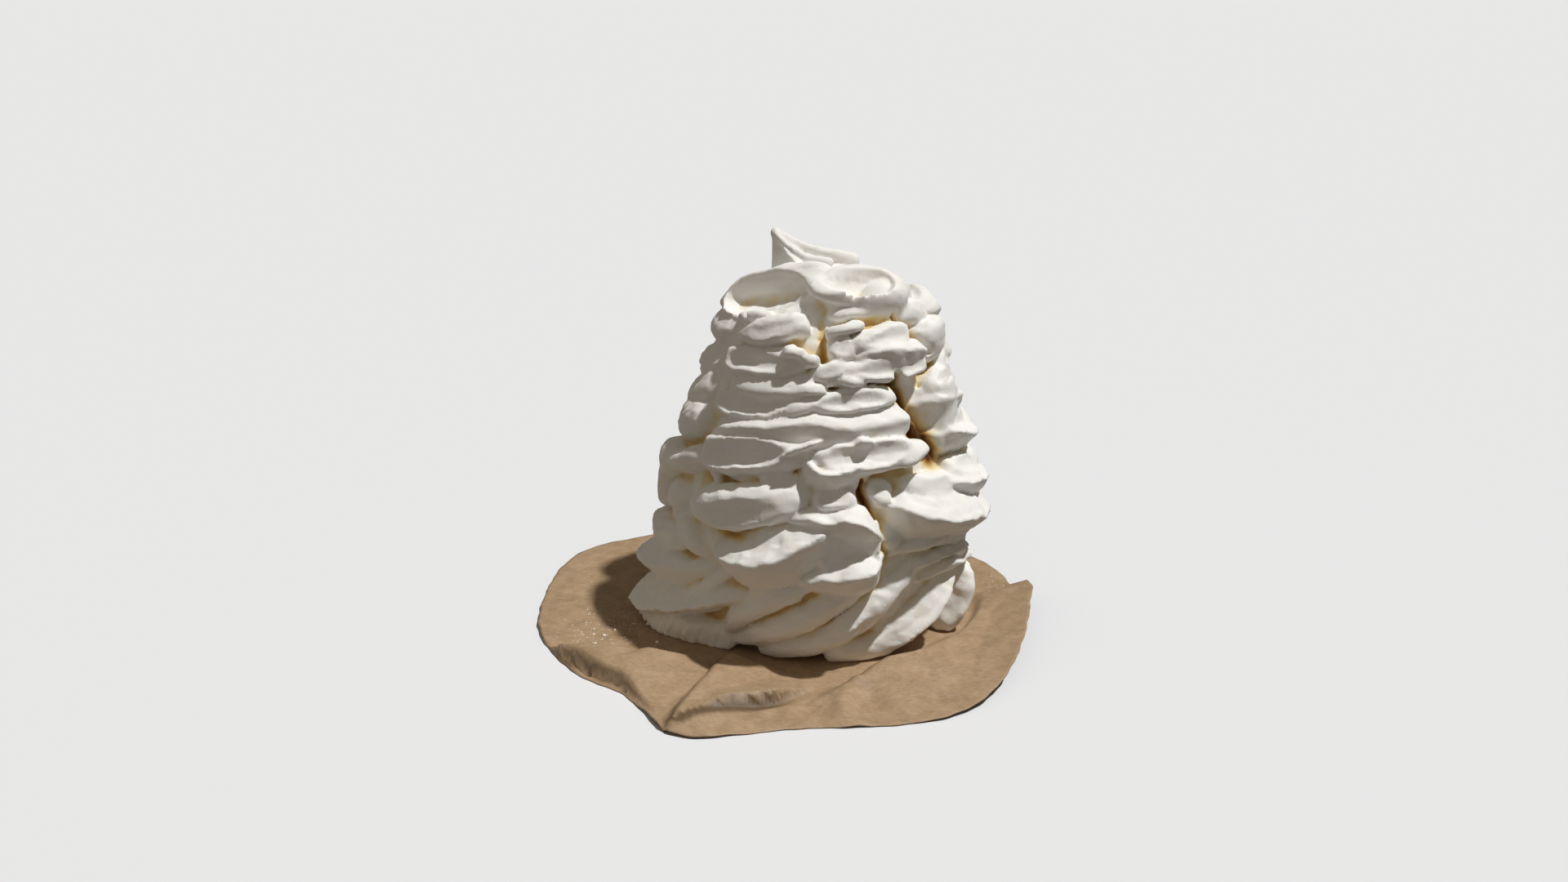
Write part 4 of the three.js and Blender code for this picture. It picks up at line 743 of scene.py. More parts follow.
body = field.ravel()
body[near] = dist
body = np.maximum(body.reshape(field.shape), (FOOT - axes[2])[None, None, :])
skin_points, skin_faces = biggest_piece(*surface_nets(body))
print("skin", len(skin_points), "points,", len(skin_faces), "faces")

# %% [markdown]
# The net is far denser than the looks need, most of all on the flat of each band. Thinned, it keeps the
# lips and cracks, and it is turned to a plain mesh so that numbers can be kept at each of its points.

# %% Thinned to a plain mesh
def new_piece(name, points, faces):
    """an object at the origin, from points in mm and lists of their numbers"""
    mesh = bpy.data.meshes.new(name)
    mesh.from_pydata((np.asarray(points) / 1000).tolist(), [], faces)
    mesh.update()
    mesh.polygons.foreach_set("use_smooth", [True] * len(mesh.polygons))
    piece = bpy.data.objects.new(name, mesh)
    bpy.context.scene.collection.objects.link(piece)
    return piece


def applied(piece):
    """the piece with its modifiers turned into a plain mesh"""
    bpy.context.view_layer.update()
    shown = piece.evaluated_get(bpy.context.evaluated_depsgraph_get())
    plain = bpy.data.meshes.new_from_object(shown, preserve_all_data_layers=True,
                                            depsgraph=bpy.context.evaluated_depsgraph_get())
    old = piece.data
    piece.modifiers.clear()
    piece.data = plain
    bpy.data.meshes.remove(old)
    plain.name = piece.name
    return piece


meringue = new_piece("meringue_skin", skin_points, skin_faces.tolist())
thin = meringue.modifiers.new("thin", "DECIMATE")
thin.ratio = min(1.0, TRIANGLES / (2 * len(skin_faces)))
applied(meringue)
meringue.data.polygons.foreach_set("use_smooth", [True] * len(meringue.data.polygons))
print("meringue", len(meringue.data.vertices), "points,",
      sum(len(p.vertices) - 2 for p in meringue.data.polygons), "triangles")

# %% [markdown]
# ## Where the skin changes colour
# Sugar and egg white stay white where the air reached them. Deep between the bands they are cream, then
# straw yellow, and in the widest cracks the syrup has baked to caramel. Two numbers at each point of
# the mesh tell the material: how deep the place is, found by counting how much meringue surrounds it,
# and how far it has browned, listed along the cracks.

# %% The share of meringue round each point
def box_mean(values, reach):
    """the mean over a cube of cells, by running sums"""
    for axis in range(3):
        width = 2 * reach + 1
        padded = np.pad(values, [(reach + 1, reach) if i == axis else (0, 0) for i in range(3)], mode="edge")
        sums = np.cumsum(padded, axis=axis, dtype=np.float64)
        ahead = np.take(sums, range(width, sums.shape[axis]), axis)
        behind = np.take(sums, range(0, sums.shape[axis] - width), axis)
        values = (ahead - behind).astype(np.float32) / width
    return values


def sample(values, points):
    """read a grid at points in mm, straight between its samples"""
    at = (points - np.array(LOW)) / GRID
    cell = np.clip(np.floor(at).astype(int), 0, np.array(values.shape) - 2)
    f = at - cell
    total = 0
    for i in (0, 1):
        for j in (0, 1):
            for k in (0, 1):
                weight = (f[:, 0] if i else 1 - f[:, 0]) * (f[:, 1] if j else 1 - f[:, 1]) * (
                    f[:, 2] if k else 1 - f[:, 2])
                total = total + weight * values[cell[:, 0] + i, cell[:, 1] + j, cell[:, 2] + k]
    return total


def positions(mesh):
    """the mesh's points in mm"""
    flat = np.empty(len(mesh.vertices) * 3, np.float32)
    mesh.vertices.foreach_get("co", flat)
    return flat.reshape(-1, 3) * 1000


def put(mesh, name, values):
    """keep one number at each point of a mesh, for a material or a tree to read"""
    layer = mesh.attributes.new(name, "FLOAT", "POINT")
    layer.data.foreach_set("value", np.asarray(values, np.float32))


at = positions(meringue.data)
filled = (body < 0).astype(np.float32)
wide = sample(box_mean(filled, round(5.2 / GRID)), at)     # of a cube about 11 mm wide
print("filled round a point of the skin", [round(float(v), 2) for v in np.percentile(wide, (5, 50, 95))])

# %% [markdown]
# Open skin has about half of the cube round it filled and a hollow has more, so a soft step between the
# two gives the depth. The browning falls off to both sides of a line drawn along each crack.

# %% Depth and browning, kept as attributes
skin_arc, skin_out = from_core(np.hypot(at[:, 0], at[:, 1]), at[:, 2])
skin_turn = np.degrees(np.arctan2(at[:, 0], -at[:, 1]))


def ramp(low, high, x):
    """0 at the low value and 1 at the high one, with a soft start and end"""
    t = np.clip((x - low) / (high - low), 0, 1)
    return t * t * (3 - 2 * t)


recess = np.clip(ramp(0.56, 0.8, wide) * ramp(5.5, 0.5, skin_out) * ramp(105, 100, at[:, 2]), 0, 1)


def stain(points, width):
    """how near each point of the skin is to a line of turn and height, 0 to 1"""
    line = np.array([(math.radians(t) * (radius_at(arc_at(h)) + 3), arc_at(h)) for t, h in points], float)
    middle = math.radians(np.mean([t for t, _ in points]))
    scale = np.interp(skin_arc, ARC, OUTLINE[:, 0]) + 3
    u = np.radians(turned(skin_turn, math.degrees(middle))) * scale
    line[:, 0] -= middle * (radius_at(float(line[:, 1].mean())) + 3)
    return np.exp(-(along_line(line, u, skin_arc)[0] / width) ** 2)


browned = np.zeros(len(at))
# each line of (turn, height), how wide its stain is in mm, and how brown
for points, width, amount in (
        (TALL_CRACK, 3.2, 1.0),
        ([(0, 97), (1, 92), (1, 87)], 1.8, 0.5),
        ([(45, 97), (54, 93), (58, 88), (64, 84.5), (60, 82)], 2.2, 0.5),
        ([(6, 99), (20, 98), (34, 97), (46, 97)], 1.8, 0.4),
        ([(-50, 97), (-36, 96), (-22, 97)], 1.6, 0.35),
        ([(-44, 79.5), (-30, 80), (-16, 80)], 2.0, 0.3),
        ([(15, 54), (17, 49), (19, 44.5), (19, 38), (23, 34)], 3.0, 0.5),
        ([(-52, 41), (-40, 38.5), (-24, 37), (-12, 38)], 1.8, 0.35),
        ([(-56, 50), (-52, 42), (-54, 34), (-52, 28), (-48, 22)], 2.0, 0.35),
        ([(-96, 6), (-80, 6), (-66, 7), (-54, 9)], 3.0, 0.3),
        ([(24, 52), (30, 48), (38, 46)], 2.5, 0.3)):
    browned = np.maximum(browned, amount * stain(points, width))
browned = browned * ramp(0.5, 0.72, wide) * ramp(6.0, 2.0, skin_out)
# the tall crack is caramel all the way in
browned = np.maximum(browned, np.clip(1.3 * stain(TALL_CRACK, 3.4) * ramp(4.5, 0.5, skin_out), 0, 1))

put(meringue.data, "recess", recess)
put(meringue.data, "browned", browned)
print("recess", round(float(recess.mean()), 3), "browned", round(float(browned.mean()), 3))

# %% [markdown]
# ## Colours and nodes
# Colours are read off as hex, the way a paint chart gives them, and turned to the linear values that
# light is reckoned in. One helper adds a node, sets it and links it, so a material reads as a list.

# %% Helpers for materials
def colour(hex_code):
    """an sRGB hex code as linear red, green, blue, alpha"""
    parts = [int(hex_code[i:i + 2], 16) / 255 for i in (1, 3, 5)]
    return (*[p / 12.92 if p <= 0.04045 else ((p + 0.055) / 1.055) ** 2.4 for p in parts], 1)


def add(tree, kind, links=None, sockets=None, **settings):
    """add a node; links are {socket: (node, output)}, sockets are {socket: value}"""
    node = tree.nodes.new(kind)
    for name, value in settings.items():
        setattr(node, name, value)
    for name, value in (sockets or {}).items():
        node.inputs[name].default_value = value
    for name, (source, output) in (links or {}).items():
        tree.links.new(source.outputs[output], node.inputs[name])
    return node


def new_material(name):
    """a material and its empty tree of nodes"""
    material = bpy.data.materials.new(name)
    material.use_nodes = True
    tree = material.node_tree
    tree.nodes.clear()
    return material, tree


def blend_ramp(tree, stops, links):
    """a colour ramp from (place, hex code) stops"""
    node = add(tree, "ShaderNodeValToRGB", links)
    elements = node.color_ramp.elements
    while len(elements) < len(stops):
        elements.new(0.5)
    for element, (place, code) in zip(elements, stops):
        element.position = place
        element.color = colour(code)
    return node


print("middle grey, #808080, is", round(colour("#808080")[0], 3), "as light")

# %% [markdown]
# ## Baked meringue
# French meringue, dried slowly: a matt, chalky shell of sugar and air. Light goes a millimetre or so
# into it, which softens its shadows. Fine pores, half a millimetre across, pit the skin here and there,
# and a sugary grain of a millimetre and finer covers the rest. Both are too small to model, so they are
# relief in the material only.

# %% The meringue's material
baked, tree = new_material("baked_meringue_chalky")
where = add(tree, "ShaderNodeTexCoord")
deep = add(tree, "ShaderNodeAttribute", attribute_name="recess")
toasted = add(tree, "ShaderNodeAttribute", attribute_name="browned")
mottle = add(tree, "ShaderNodeTexNoise", {"Vector": (where, "Object")},
             {"Scale": 1 / 0.011, "Detail": 4.0, "Roughness": 0.6})
patch = add(tree, "ShaderNodeTexNoise", {"Vector": (where, "Object")},
            {"Scale": 1 / 0.0035, "Detail": 3.0, "Roughness": 0.65})
uneven = add(tree, "ShaderNodeMath", {0: (patch, "Fac")}, {1: 0.36, 2: -0.2}, operation="MULTIPLY_ADD")
deep_uneven = add(tree, "ShaderNodeMath", {0: (deep, "Fac"), 1: (uneven, "Value")}, operation="ADD",
                  use_clamp=True)
soft = blend_ramp(tree, [(0.0, "#f6f6f4"), (0.3, "#f4f1e8"), (0.62, "#efe2c4"), (1.0, "#dcc08a")],
                  {"Fac": (deep_uneven, "Value")})
tint = add(tree, "ShaderNodeMix", {"Factor": (mottle, "Fac"), "A": (soft, "Color")},
           {"B": colour("#f8f6f2")}, data_type="RGBA", blend_type="MULTIPLY")
caramel_amount = add(tree, "ShaderNodeMath", {0: (toasted, "Fac"), 1: (uneven, "Value")}, operation="ADD",
                     use_clamp=True)
caramel = blend_ramp(tree, [(0.0, "#ffffff"), (0.3, "#f1e0b4"), (0.6, "#c99d57"), (0.85, "#8a5a26"),
                            (1.0, "#4a2b10")], {"Fac": (caramel_amount, "Value")})
skin_colour = add(tree, "ShaderNodeMix", {"A": (tint, "Result"), "B": (caramel, "Color")}, {"Factor": 1.0},
                  data_type="RGBA", blend_type="MULTIPLY")
grain = add(tree, "ShaderNodeTexNoise", {"Vector": (where, "Object")},
            {"Scale": 1 / 0.0011, "Detail": 5.0, "Roughness": 0.62})
pores = add(tree, "ShaderNodeTexVoronoi", {"Vector": (where, "Object")}, {"Scale": 1 / 0.0034})
pit = add(tree, "ShaderNodeMapRange", {"Value": (pores, "Distance")},
          {"From Min": 0.02, "From Max": 0.13, "To Min": 0.0, "To Max": 1.0}, clamp=True)
relief = add(tree, "ShaderNodeMath", {0: (pit, "Result"), 2: (grain, "Fac")}, {1: 0.9},
             operation="MULTIPLY_ADD")
bump = add(tree, "ShaderNodeBump", {"Height": (relief, "Value")}, {"Strength": 0.35, "Distance": 0.0002})
surface = add(tree, "ShaderNodeBsdfPrincipled",
              {"Base Color": (skin_colour, "Result"), "Normal": (bump, "Normal")},
              {"Roughness": 0.7, "IOR": 1.45, "Specular IOR Level": 0.3, "Subsurface Weight": 0.12,
               "Subsurface Radius": (1.0, 0.8, 0.55), "Subsurface Scale": 0.0009})
add(tree, "ShaderNodeOutputMaterial", {"Surface": (surface, "BSDF")})
meringue.data.materials.clear()
meringue.data.materials.append(baked)
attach(meringue, "root")
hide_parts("meringue")
print("material", baked.name, len(tree.nodes), "nodes")

# %% [markdown]
# ## The round of baking paper
# Unbleached greaseproof paper, cut or torn into a rough round and smoothed flat before the meringue was
# spooned onto it. It has been lifted and put down since, so its rim turns up at the back, a flap is
# folded up at the left front, and a long soft crease runs along the front right.
# A cloth simulation would crumple it at random; here each crease has its place, so the height is a
# function of x and y, made of a few lines with a slope to each side, and small creases laid over it.

# %% Edge and fold lines
PAPER_CENTRE, PAPER_THICK = (-11, -10), 0.3
# the distance of the paper's edge from its centre, by the angle from +X
EDGE = [(-180, 75.4), (-170, 74.8), (-155, 72.4), (-140, 70.8), (-131, 67.8), (-123, 70.6), (-116, 75.6),
        (-111, 81), (-104, 80.2), (-98, 76), (-89, 72.3), (-82, 71.6), (-72, 73.9), (-63, 76.8), (-55, 79.7),
        (-47, 80.4), (-34, 77.8), (-23, 75.4), (-11, 74.8), (0, 76), (6, 78.6), (9.5, 78.4), (14, 75.4),
        (27, 77.8), (38, 77), (70, 75), (100, 75), (128, 77.4), (144, 84.4), (156, 81.4), (169, 77),
        (180, 75.4)]
# fold lines, as (x, y); the flap at the left front lies between its ridge, its crest and its end
RIDGE = [(-86, -27), (-81, -33.5), (-72, -39.7), (-64.5, -42.3), (-48, -43.9), (-36, -42.6), (-24, -37.5)]
CREST = [(-86, -24), (-82, -32.2), (-76.6, -41.2), (-70.7, -48.2), (-61.4, -56.9), (-55.2, -60.7),
         (-49.8, -68.4), (-44.5, -76.5), (-40, -86)]
FLAP_END = [(-23, -34), (-25.4, -38), (-27.8, -46.8), (-33, -61.7), (-37.3, -72.5), (-41, -86)]
PLEAT = [(-36.5, -79), (-33.6, -76.6), (-26.6, -73.1), (-14.8, -69.8), (-7.6, -64.1), (-0.9, -58.8)]
LONG_CREST = [(-38, -92), (-34.9, -86.6), (-22.5, -79.6), (-11.9, -73.5), (-0.9, -69.1), (8.1, -61),
              (15.2, -53.2), (22.5, -44.5), (32.7, -33.6), (48.8, -17.3), (60.5, -2.3), (68, 1)]


def paper_edge(angle):
    """mm from the paper's centre to its edge"""
    line = rounded(EDGE, 2)
    return np.interp(angle, line[:, 0], line[:, 1])


def beside(x, y, line):
    """distance to a line, more than 0 on its left, and how far along it, 0 to 1"""
    d, side, along, _ = along_line(rounded(line, 1), x, y)
    return np.where(side < 0, -d, d), along


print("paper", round(float(paper_edge(0) + paper_edge(180)), 1), "mm across")

# %% [markdown]
# Each fold is a height of its own, and the highest one counts at each place. The heights are nothing
# under the meringue, which holds the sheet flat, and grow over the first few millimetres beside it.

# %% How high the paper stands
def paper_rise(x, y):
    """height of the paper's underside over the floor"""
    dx, dy = x - PAPER_CENTRE[0], y - PAPER_CENTRE[1]
    angle, r, to_axis = np.degrees(np.arctan2(dy, dx)), np.hypot(dx, dy), np.hypot(x, y)
    at_turn = np.degrees(np.arctan2(x, -y))
    foot = 47.5 + 11 * ramp(-112, -80, at_turn) * (1 - ramp(-52, -30, at_turn))
    ridge, ridge_part = beside(x, y, RIDGE)
    crest, crest_part = beside(x, y, CREST)
    end, end_part = beside(x, y, FLAP_END)
    # the rim turns up a little at the left and behind
    rim = 1.2 * ramp(56, 78, r) * ((angle > 12) | (angle < -160)) * ramp(-1, 2, ridge)
    # the flap slopes from its ridge to its crest, where it is turned down, and down to its end at the right
    share = np.abs(ridge) / (np.abs(ridge) + np.abs(crest) + 1e-3)
    flap = (np.interp(ridge_part, (0, 0.35, 0.6, 0.8, 1), (1.5, 6.4, 6.8, 5, 3)) * (1 - share)
            + np.interp(crest_part, (0, 0.5, 0.65, 1), (2, 5.6, 4.6, 1)) * share)
    flap = flap * (0.3 + 0.7 * np.clip(-end / 20, 0, 1)) * ramp(-0.5, 3, -ridge) * ramp(0, 1.6, crest)
    flap = flap * ramp(-0.5, 0.5, -end)
    # there the next fold stands over it, and fades away to the right
    fold_over = np.interp(end_part, (0, 0.12, 0.6, 0.85, 1), (0, 3.4, 4.4, 3, 0.5)) * ramp(-0.3, 0.6, end)
    fold_over = fold_over * (1 - ramp(1, 24, end))
    # a short pleat in front of the foot, its near side steep
    side, part = beside(x, y, PLEAT)
    pleat = np.interp(part, (0, 0.3, 0.65, 1), (2, 5, 4.4, 0)) * ramp(-1, 0, side)
    pleat = pleat * (1 - np.clip(side / 18, 0, 1))
    # the long crest: a flat slope outwards to the edge, a steeper one back to the meringue
    side, part = beside(x, y, LONG_CREST)
    high = np.interp(part, (0, 0.2, 0.35, 0.5, 0.65, 0.85, 1), (0.3, 0.7, 1.6, 4.4, 5, 4, 6.5))
    to_edge = np.maximum(paper_edge(angle) - r, 0)
    right = high * np.where(side < 0, (to_edge + 1) / (to_edge + 1 + np.abs(side)),
                            1 - ramp(0, 4 + 13 * ramp(0.6, 0.9, part), side))
    # the side at the right curls up, most of all at its far corner
    curl = np.interp(angle, (-80, -62, -50, -34, -12, 4, 10, 13), (0, 0.2, 1.1, 3.4, 5.8, 7, 6.5, 0))
    curl = curl * np.clip(1 - to_edge / 26, 0, 1)
    rise = np.maximum.reduce([rim, flap, fold_over, pleat, right, curl])
    rise = rise + 0.15 * (1 + wobble(x, y, 0, 31, 26)) * ramp(50, 62, to_axis) * ramp(0, 8, to_edge)
    return rise * ramp(foot, foot + 4, to_axis)


flap_height = paper_rise(np.array([-70.0]), np.array([-44.0]))[0]
print("the flap stands", round(float(flap_height), 1), "mm over the floor")

# %% [markdown]
# Between the big folds the sheet is crushed a little all over: low roofs and gutters, the stronger ones
# in their own places and the rest strewn by seeded numbers.

# %% Small creases
# each from one (x, y) to another, with its height (less than 0 for a gutter) and its half width in mm
CREASES = [((24, -58.5), (44, -66), 1.5, 2.6), ((24, -51), (45, -61), -1.6, 8),
           ((-60, -50.5), (-47.5, -43.5), -2, 4), ((-72, -46), (-60, -50.5), 1.2, 4),
           ((7.5, -57.8), (15.7, -58.8), 0.9, 2.5), ((15.7, -58.8), (16, -49.7), 0.8, 3),
           ((8, -60), (5.7, -79), 1.4, 4.5), ((14.4, -60), (14.9, -75), -2, 6),
           ((5, -80), (15, -79.5), 0.7, 4), ((-5, -66), (3, -77), -1.6, 8), ((-20, -80), (-8, -74), -0.7, 4),
           ((-38, -50), (-42, -66), -0.6, 6), ((-58, -50), (-48, -66), 0.6, 3),
           ((46, -38), (60, -34), 0.5, 7), ((-78, -22), (-50, -30), 0.5, 6), ((30, -42), (52, -50), 0.5, 7),
           ((38, -24), (66, -30), -0.5, 8), ((-70, 20), (-50, 40), 0.5, 8)]
for k in range(34):
    bearing, r = math.radians(360 * roll(k, 51)), 46 + 32 * roll(k, 52)
    x0, y0 = PAPER_CENTRE[0] + r * math.cos(bearing), PAPER_CENTRE[1] + r * math.sin(bearing)
    way, length = math.radians(180 * roll(k, 53)), 7 + 18 * roll(k, 54)
    CREASES.append(((x0, y0), (x0 + length * math.cos(way), y0 + length * math.sin(way)),
                    0.8 * roll(k, 55) - 0.4, 1.6 + 4 * roll(k, 56)))


def creases(x, y):
    """how much the small creases lift or lower the sheet"""
    total = 0
    for a, b, height, width in CREASES:
        d, _, part, _ = along_line(np.array([a, b], float), x, y)
        total = total + height * np.clip(1 - d / width, 0, 1) ** 1.3 * np.sin(np.pi * np.clip(part, 0.04, 0.96))
    return total


print("small creases", len(CREASES))

# %% [markdown]
# The sheet is a disc of rings, doubled for its two faces and closed round its edge, so it has a real
# thickness and casts a real shadow.

# %% The sheet
COLUMNS, RINGS = 360, 96
angle = np.radians(np.arange(COLUMNS) * 360 / COLUMNS)
share = (np.arange(1, RINGS + 1) / RINGS)[:, None]
reach = paper_edge(np.degrees(angle) - 360 * (angle > math.pi))
reach = reach * (1 + 0.0016 * np.sin(37 * angle) + 0.0012 * np.sin(71 * angle + 1))
flat_x = np.concatenate([[PAPER_CENTRE[0]], (PAPER_CENTRE[0] + share * reach * np.cos(angle)).ravel()])
flat_y = np.concatenate([[PAPER_CENTRE[1]], (PAPER_CENTRE[1] + share * reach * np.sin(angle)).ravel()])
from_axis = np.hypot(flat_x, flat_y)
rise = paper_rise(flat_x, flat_y)
rise = np.maximum(rise + creases(flat_x, flat_y) * ramp(46, 58, from_axis), 0)
# where the sheet would touch the meringue it is lowered, a fifth of a millimetre at a time
for _ in range(40):
    inside = (flat_x > LOW[0]) & (flat_x < HIGH[0] - 1) & (flat_y > LOW[1]) & (flat_y < HIGH[1] - 1)
    gap = sample(body, np.stack([flat_x, flat_y, rise + PAPER_THICK], 1).clip(
        np.array(LOW), np.array([axis[-1] for axis in axes])))
    low = inside & (gap < 0.8) & (rise > 0)
    if not low.any():
        break
    rise[low] = np.maximum(rise[low] - 0.2, 0)
ids = 1 + np.arange(COLUMNS * RINGS).reshape(RINGS, COLUMNS)
after = np.roll(ids, -1, axis=1)
upper = [(0, a, b) for a, b in zip(ids[0], after[0])]
upper += [tuple(q) for q in np.stack([ids[:-1], ids[1:], after[1:], after[:-1]], -1).reshape(-1, 4)]
top_points = len(flat_x)
lower = [tuple(i + top_points for i in face[::-1]) for face in upper]
wall = [(a, a + top_points, b + top_points, b) for a, b in zip(ids[-1], after[-1])]
sheet_points = np.concatenate([np.stack([flat_x, flat_y, rise + PAPER_THICK], 1),
                               np.stack([flat_x, flat_y, rise], 1)])
paper = new_piece("baking_paper_round", sheet_points,
                  [[int(i) for i in face] for face in upper + lower + wall])
print("paper", len(paper.data.polygons), "faces, highest", round(float(rise.max()), 2), "mm")

# %% [markdown]
# ## Greaseproof paper
# The shade along the folds is painted: the sheet is darker at the flap's end, on the pleat's near side
# and beside the long crest. One number at each point of the sheet says where, and the material reads it.

# %% Painted shade along the folds
flap_line, flap_part = beside(flat_x, flat_y, FLAP_END)
pleat_line, pleat_part = beside(flat_x, flat_y, PLEAT)
crest_line, crest_part = beside(flat_x, flat_y, LONG_CREST)
# painted shade: a dark line along the flap's end, a band on the pleat's near side, a faint line beside the long
# crest
flap_shade = np.exp(-(flap_line / 1.1) ** 2) * ramp(0.04, 0.2, flap_part) * (1 - ramp(0.9, 1, flap_part))
pleat_shade = (ramp(-4.2, -2.6, pleat_line) * (1 - ramp(-0.4, 0.1, pleat_line))
            * (1 - ramp(0.55, 0.95, pleat_part)))
crest_shade = (np.exp(-((crest_line - 0.9) / 1.1) ** 2) * ramp(0.3, 0.45, crest_part)
            * (1 - ramp(0.66, 0.8, crest_part)))
folded = np.maximum.reduce([0.9 * flap_shade, 0.85 * pleat_shade, 0.55 * crest_shade])
put(paper.data, "folded", np.concatenate([folded, folded]))
print("folded over", round(float((folded > 0.3).mean()), 3), "of the sheet")

# %% [markdown]
# Brown kraft pulp, beaten until its fibres fuse: warm mid brown, with a cloudy mottle a few millimetres
# across from the way the pulp settled, short darker fibres, and a faint waxy shine.

# %% The paper's material
kraft, tree = new_material("greaseproof_kraft_paper")
where = add(tree, "ShaderNodeTexCoord")
cloud = add(tree, "ShaderNodeTexNoise", {"Vector": (where, "Object")},
            {"Scale": 1 / 0.005, "Detail": 6.0, "Roughness": 0.65})
stretch = add(tree, "ShaderNodeMapping", {"Vector": (where, "Object")})
stretch.inputs["Scale"].default_value = (1.0, 3.2, 1.0)
stretch.inputs["Rotation"].default_value = (0, 0, math.radians(24))
fibre = add(tree, "ShaderNodeTexNoise", {"Vector": (stretch, "Vector")},
            {"Scale": 1 / 0.0016, "Detail": 4.0, "Roughness": 0.7})
# the painted fold shade, 0 to 1
painted_shade = add(tree, "ShaderNodeAttribute", attribute_name="folded")
mixed = add(tree, "ShaderNodeMath", {0: (cloud, "Fac"), 1: (fibre, "Fac")}, operation="ADD")
half = add(tree, "ShaderNodeMath", {0: (mixed, "Value")}, {1: 0.5}, operation="MULTIPLY")
brown = blend_ramp(tree, [(0.3, "#8c7458"), (0.5, "#a88e70"), (0.7, "#bda488")], {"Fac": (half, "Value")})
# painted shade: the brown is mixed towards a dark brown along the folds
shaded_brown = add(tree, "ShaderNodeMix", {"Factor": (painted_shade, "Fac"), "A": (brown, "Color")},
           {"B": colour("#54402a")}, data_type="RGBA")
tooth = add(tree, "ShaderNodeBump", {"Height": (half, "Value")}, {"Strength": 0.25, "Distance": 0.0002})
surface = add(tree, "ShaderNodeBsdfPrincipled", {"Base Color": (shaded_brown, "Result"), "Normal": (tooth, "Normal")},
              {"Roughness": 0.52, "IOR": 1.45, "Specular IOR Level": 0.4})
add(tree, "ShaderNodeOutputMaterial", {"Surface": (surface, "BSDF")})
paper.data.materials.append(kraft)
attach(paper, "root")
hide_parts("baking_paper")
print("material", kraft.name, len(tree.nodes), "nodes")

# %% [markdown]
# ## Sugar and crumbs
# Caster sugar that missed the bowl and flakes that broke off the shell lie on the paper. They are small
# solids half sunk in the sheet, strewn by Geometry Nodes: points are spread over the paper, thickest
# where a weight kept on the mesh says so, and a small ball of few faces is set on each.

# %% Sugar and crumbs on the paper
loose = bpy.data.node_groups.new("loose_bits", "GeometryNodeTree")
socket = {name: loose.interface.new_socket(name, in_out="INPUT", socket_type="NodeSocket" + kind).identifier
          for name, kind in (("Sheet", "Geometry"), ("Bits per square metre", "Float"), ("Size", "Float"),
                             ("Seed", "Int"), ("Made of", "Material"))}
loose.interface.new_socket("Bits", in_out="OUTPUT", socket_type="NodeSocketGeometry")
given = add(loose, "NodeGroupInput")
weight = add(loose, "GeometryNodeInputNamedAttribute", sockets={"Name": "strewn"}, data_type="FLOAT")
often = add(loose, "ShaderNodeMath", {0: (given, "Bits per square metre"), 1: (weight, "Attribute")},
            operation="MULTIPLY")
spots = add(loose, "GeometryNodeDistributePointsOnFaces",
            {"Mesh": (given, "Sheet"), "Density": (often, "Value"), "Seed": (given, "Seed")})
ball = add(loose, "GeometryNodeMeshIcoSphere", {"Radius": (given, "Size")}, {"Subdivisions": 1})
facing = add(loose, "FunctionNodeRandomValue", {"Seed": (given, "Seed")}, {1: (6.28, 6.28, 6.28)},
             data_type="FLOAT_VECTOR")
stretch = add(loose, "FunctionNodeRandomValue", {"Seed": (given, "Seed")},
              {0: (0.6, 0.4, 0.5), 1: (1.3, 1.0, 1.1)}, data_type="FLOAT_VECTOR")
placed = add(loose, "GeometryNodeInstanceOnPoints", {"Points": (spots, "Points"), "Instance": (ball, "Mesh"),
                                                     "Rotation": (facing, 0), "Scale": (stretch, 0)})
real = add(loose, "GeometryNodeRealizeInstances", {"Geometry": (placed, "Instances")})
dressed = add(loose, "GeometryNodeSetMaterial",
              {"Geometry": (real, "Geometry"), "Material": (given, "Made of")})
add(loose, "NodeGroupOutput", {"Bits": (dressed, "Geometry")})
print("tree", loose.name, len(loose.nodes), "nodes")

# %% [markdown]
# Caster sugar is ground from clear crystals under half a millimetre across. In a heap their facets
# scatter all the light, so a grain reads as nearly white with a hard little glint.

# %% The sugar's material, and strewing
sugar, tree = new_material("caster_sugar_crystals")
surface = add(tree, "ShaderNodeBsdfPrincipled",
              sockets={"Base Color": colour("#f6f3ee"), "Roughness": 0.25, "IOR": 1.54})
add(tree, "ShaderNodeOutputMaterial", {"Surface": (surface, "BSDF")})


def strew(name, patches, per_square_metre, size, seed, material):
    """loose bits on the upper side of the paper, round the middle of each (x, y, radius) patch"""
    piece = bpy.data.objects.new(name, paper.data.copy())
    bpy.context.scene.collection.objects.link(piece)
    thick = sum(np.exp(-((flat_x - x) ** 2 + (flat_y - y) ** 2) / r ** 2) for x, y, r in patches)
    put(piece.data, "strewn", np.concatenate([thick, np.zeros(top_points)]))
    modifier = piece.modifiers.new("loose_bits", "NODES")
    modifier.node_group = loose
    for key, value in (("Bits per square metre", per_square_metre), ("Size", size), ("Seed", seed),
                       ("Made of", material)):
        modifier[socket[key]] = value
    applied(piece)
    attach(piece, "root")
    print(name, len(piece.data.polygons) // 20, "bits")


# grains 0.4 mm across and crumbs 1.2 mm across
strew("sugar_grains", [(-66, -22, 13), (-56, -16, 9), (57, 9, 6), (-71, -34, 5)], 170000, 0.00022, 5, sugar)
strew("meringue_crumbs", [(-60, -24, 10), (57.4, 9, 4), (-72, -38, 4)], 22000, 0.0006, 3, baked)

# %% [markdown]
# ## Floor
# A plain pale floor that runs on past the frame. A white floor would throw much light up under the
# bands and flatten them, so to light that bounces it is a dim grey, and only the eye sees it pale.

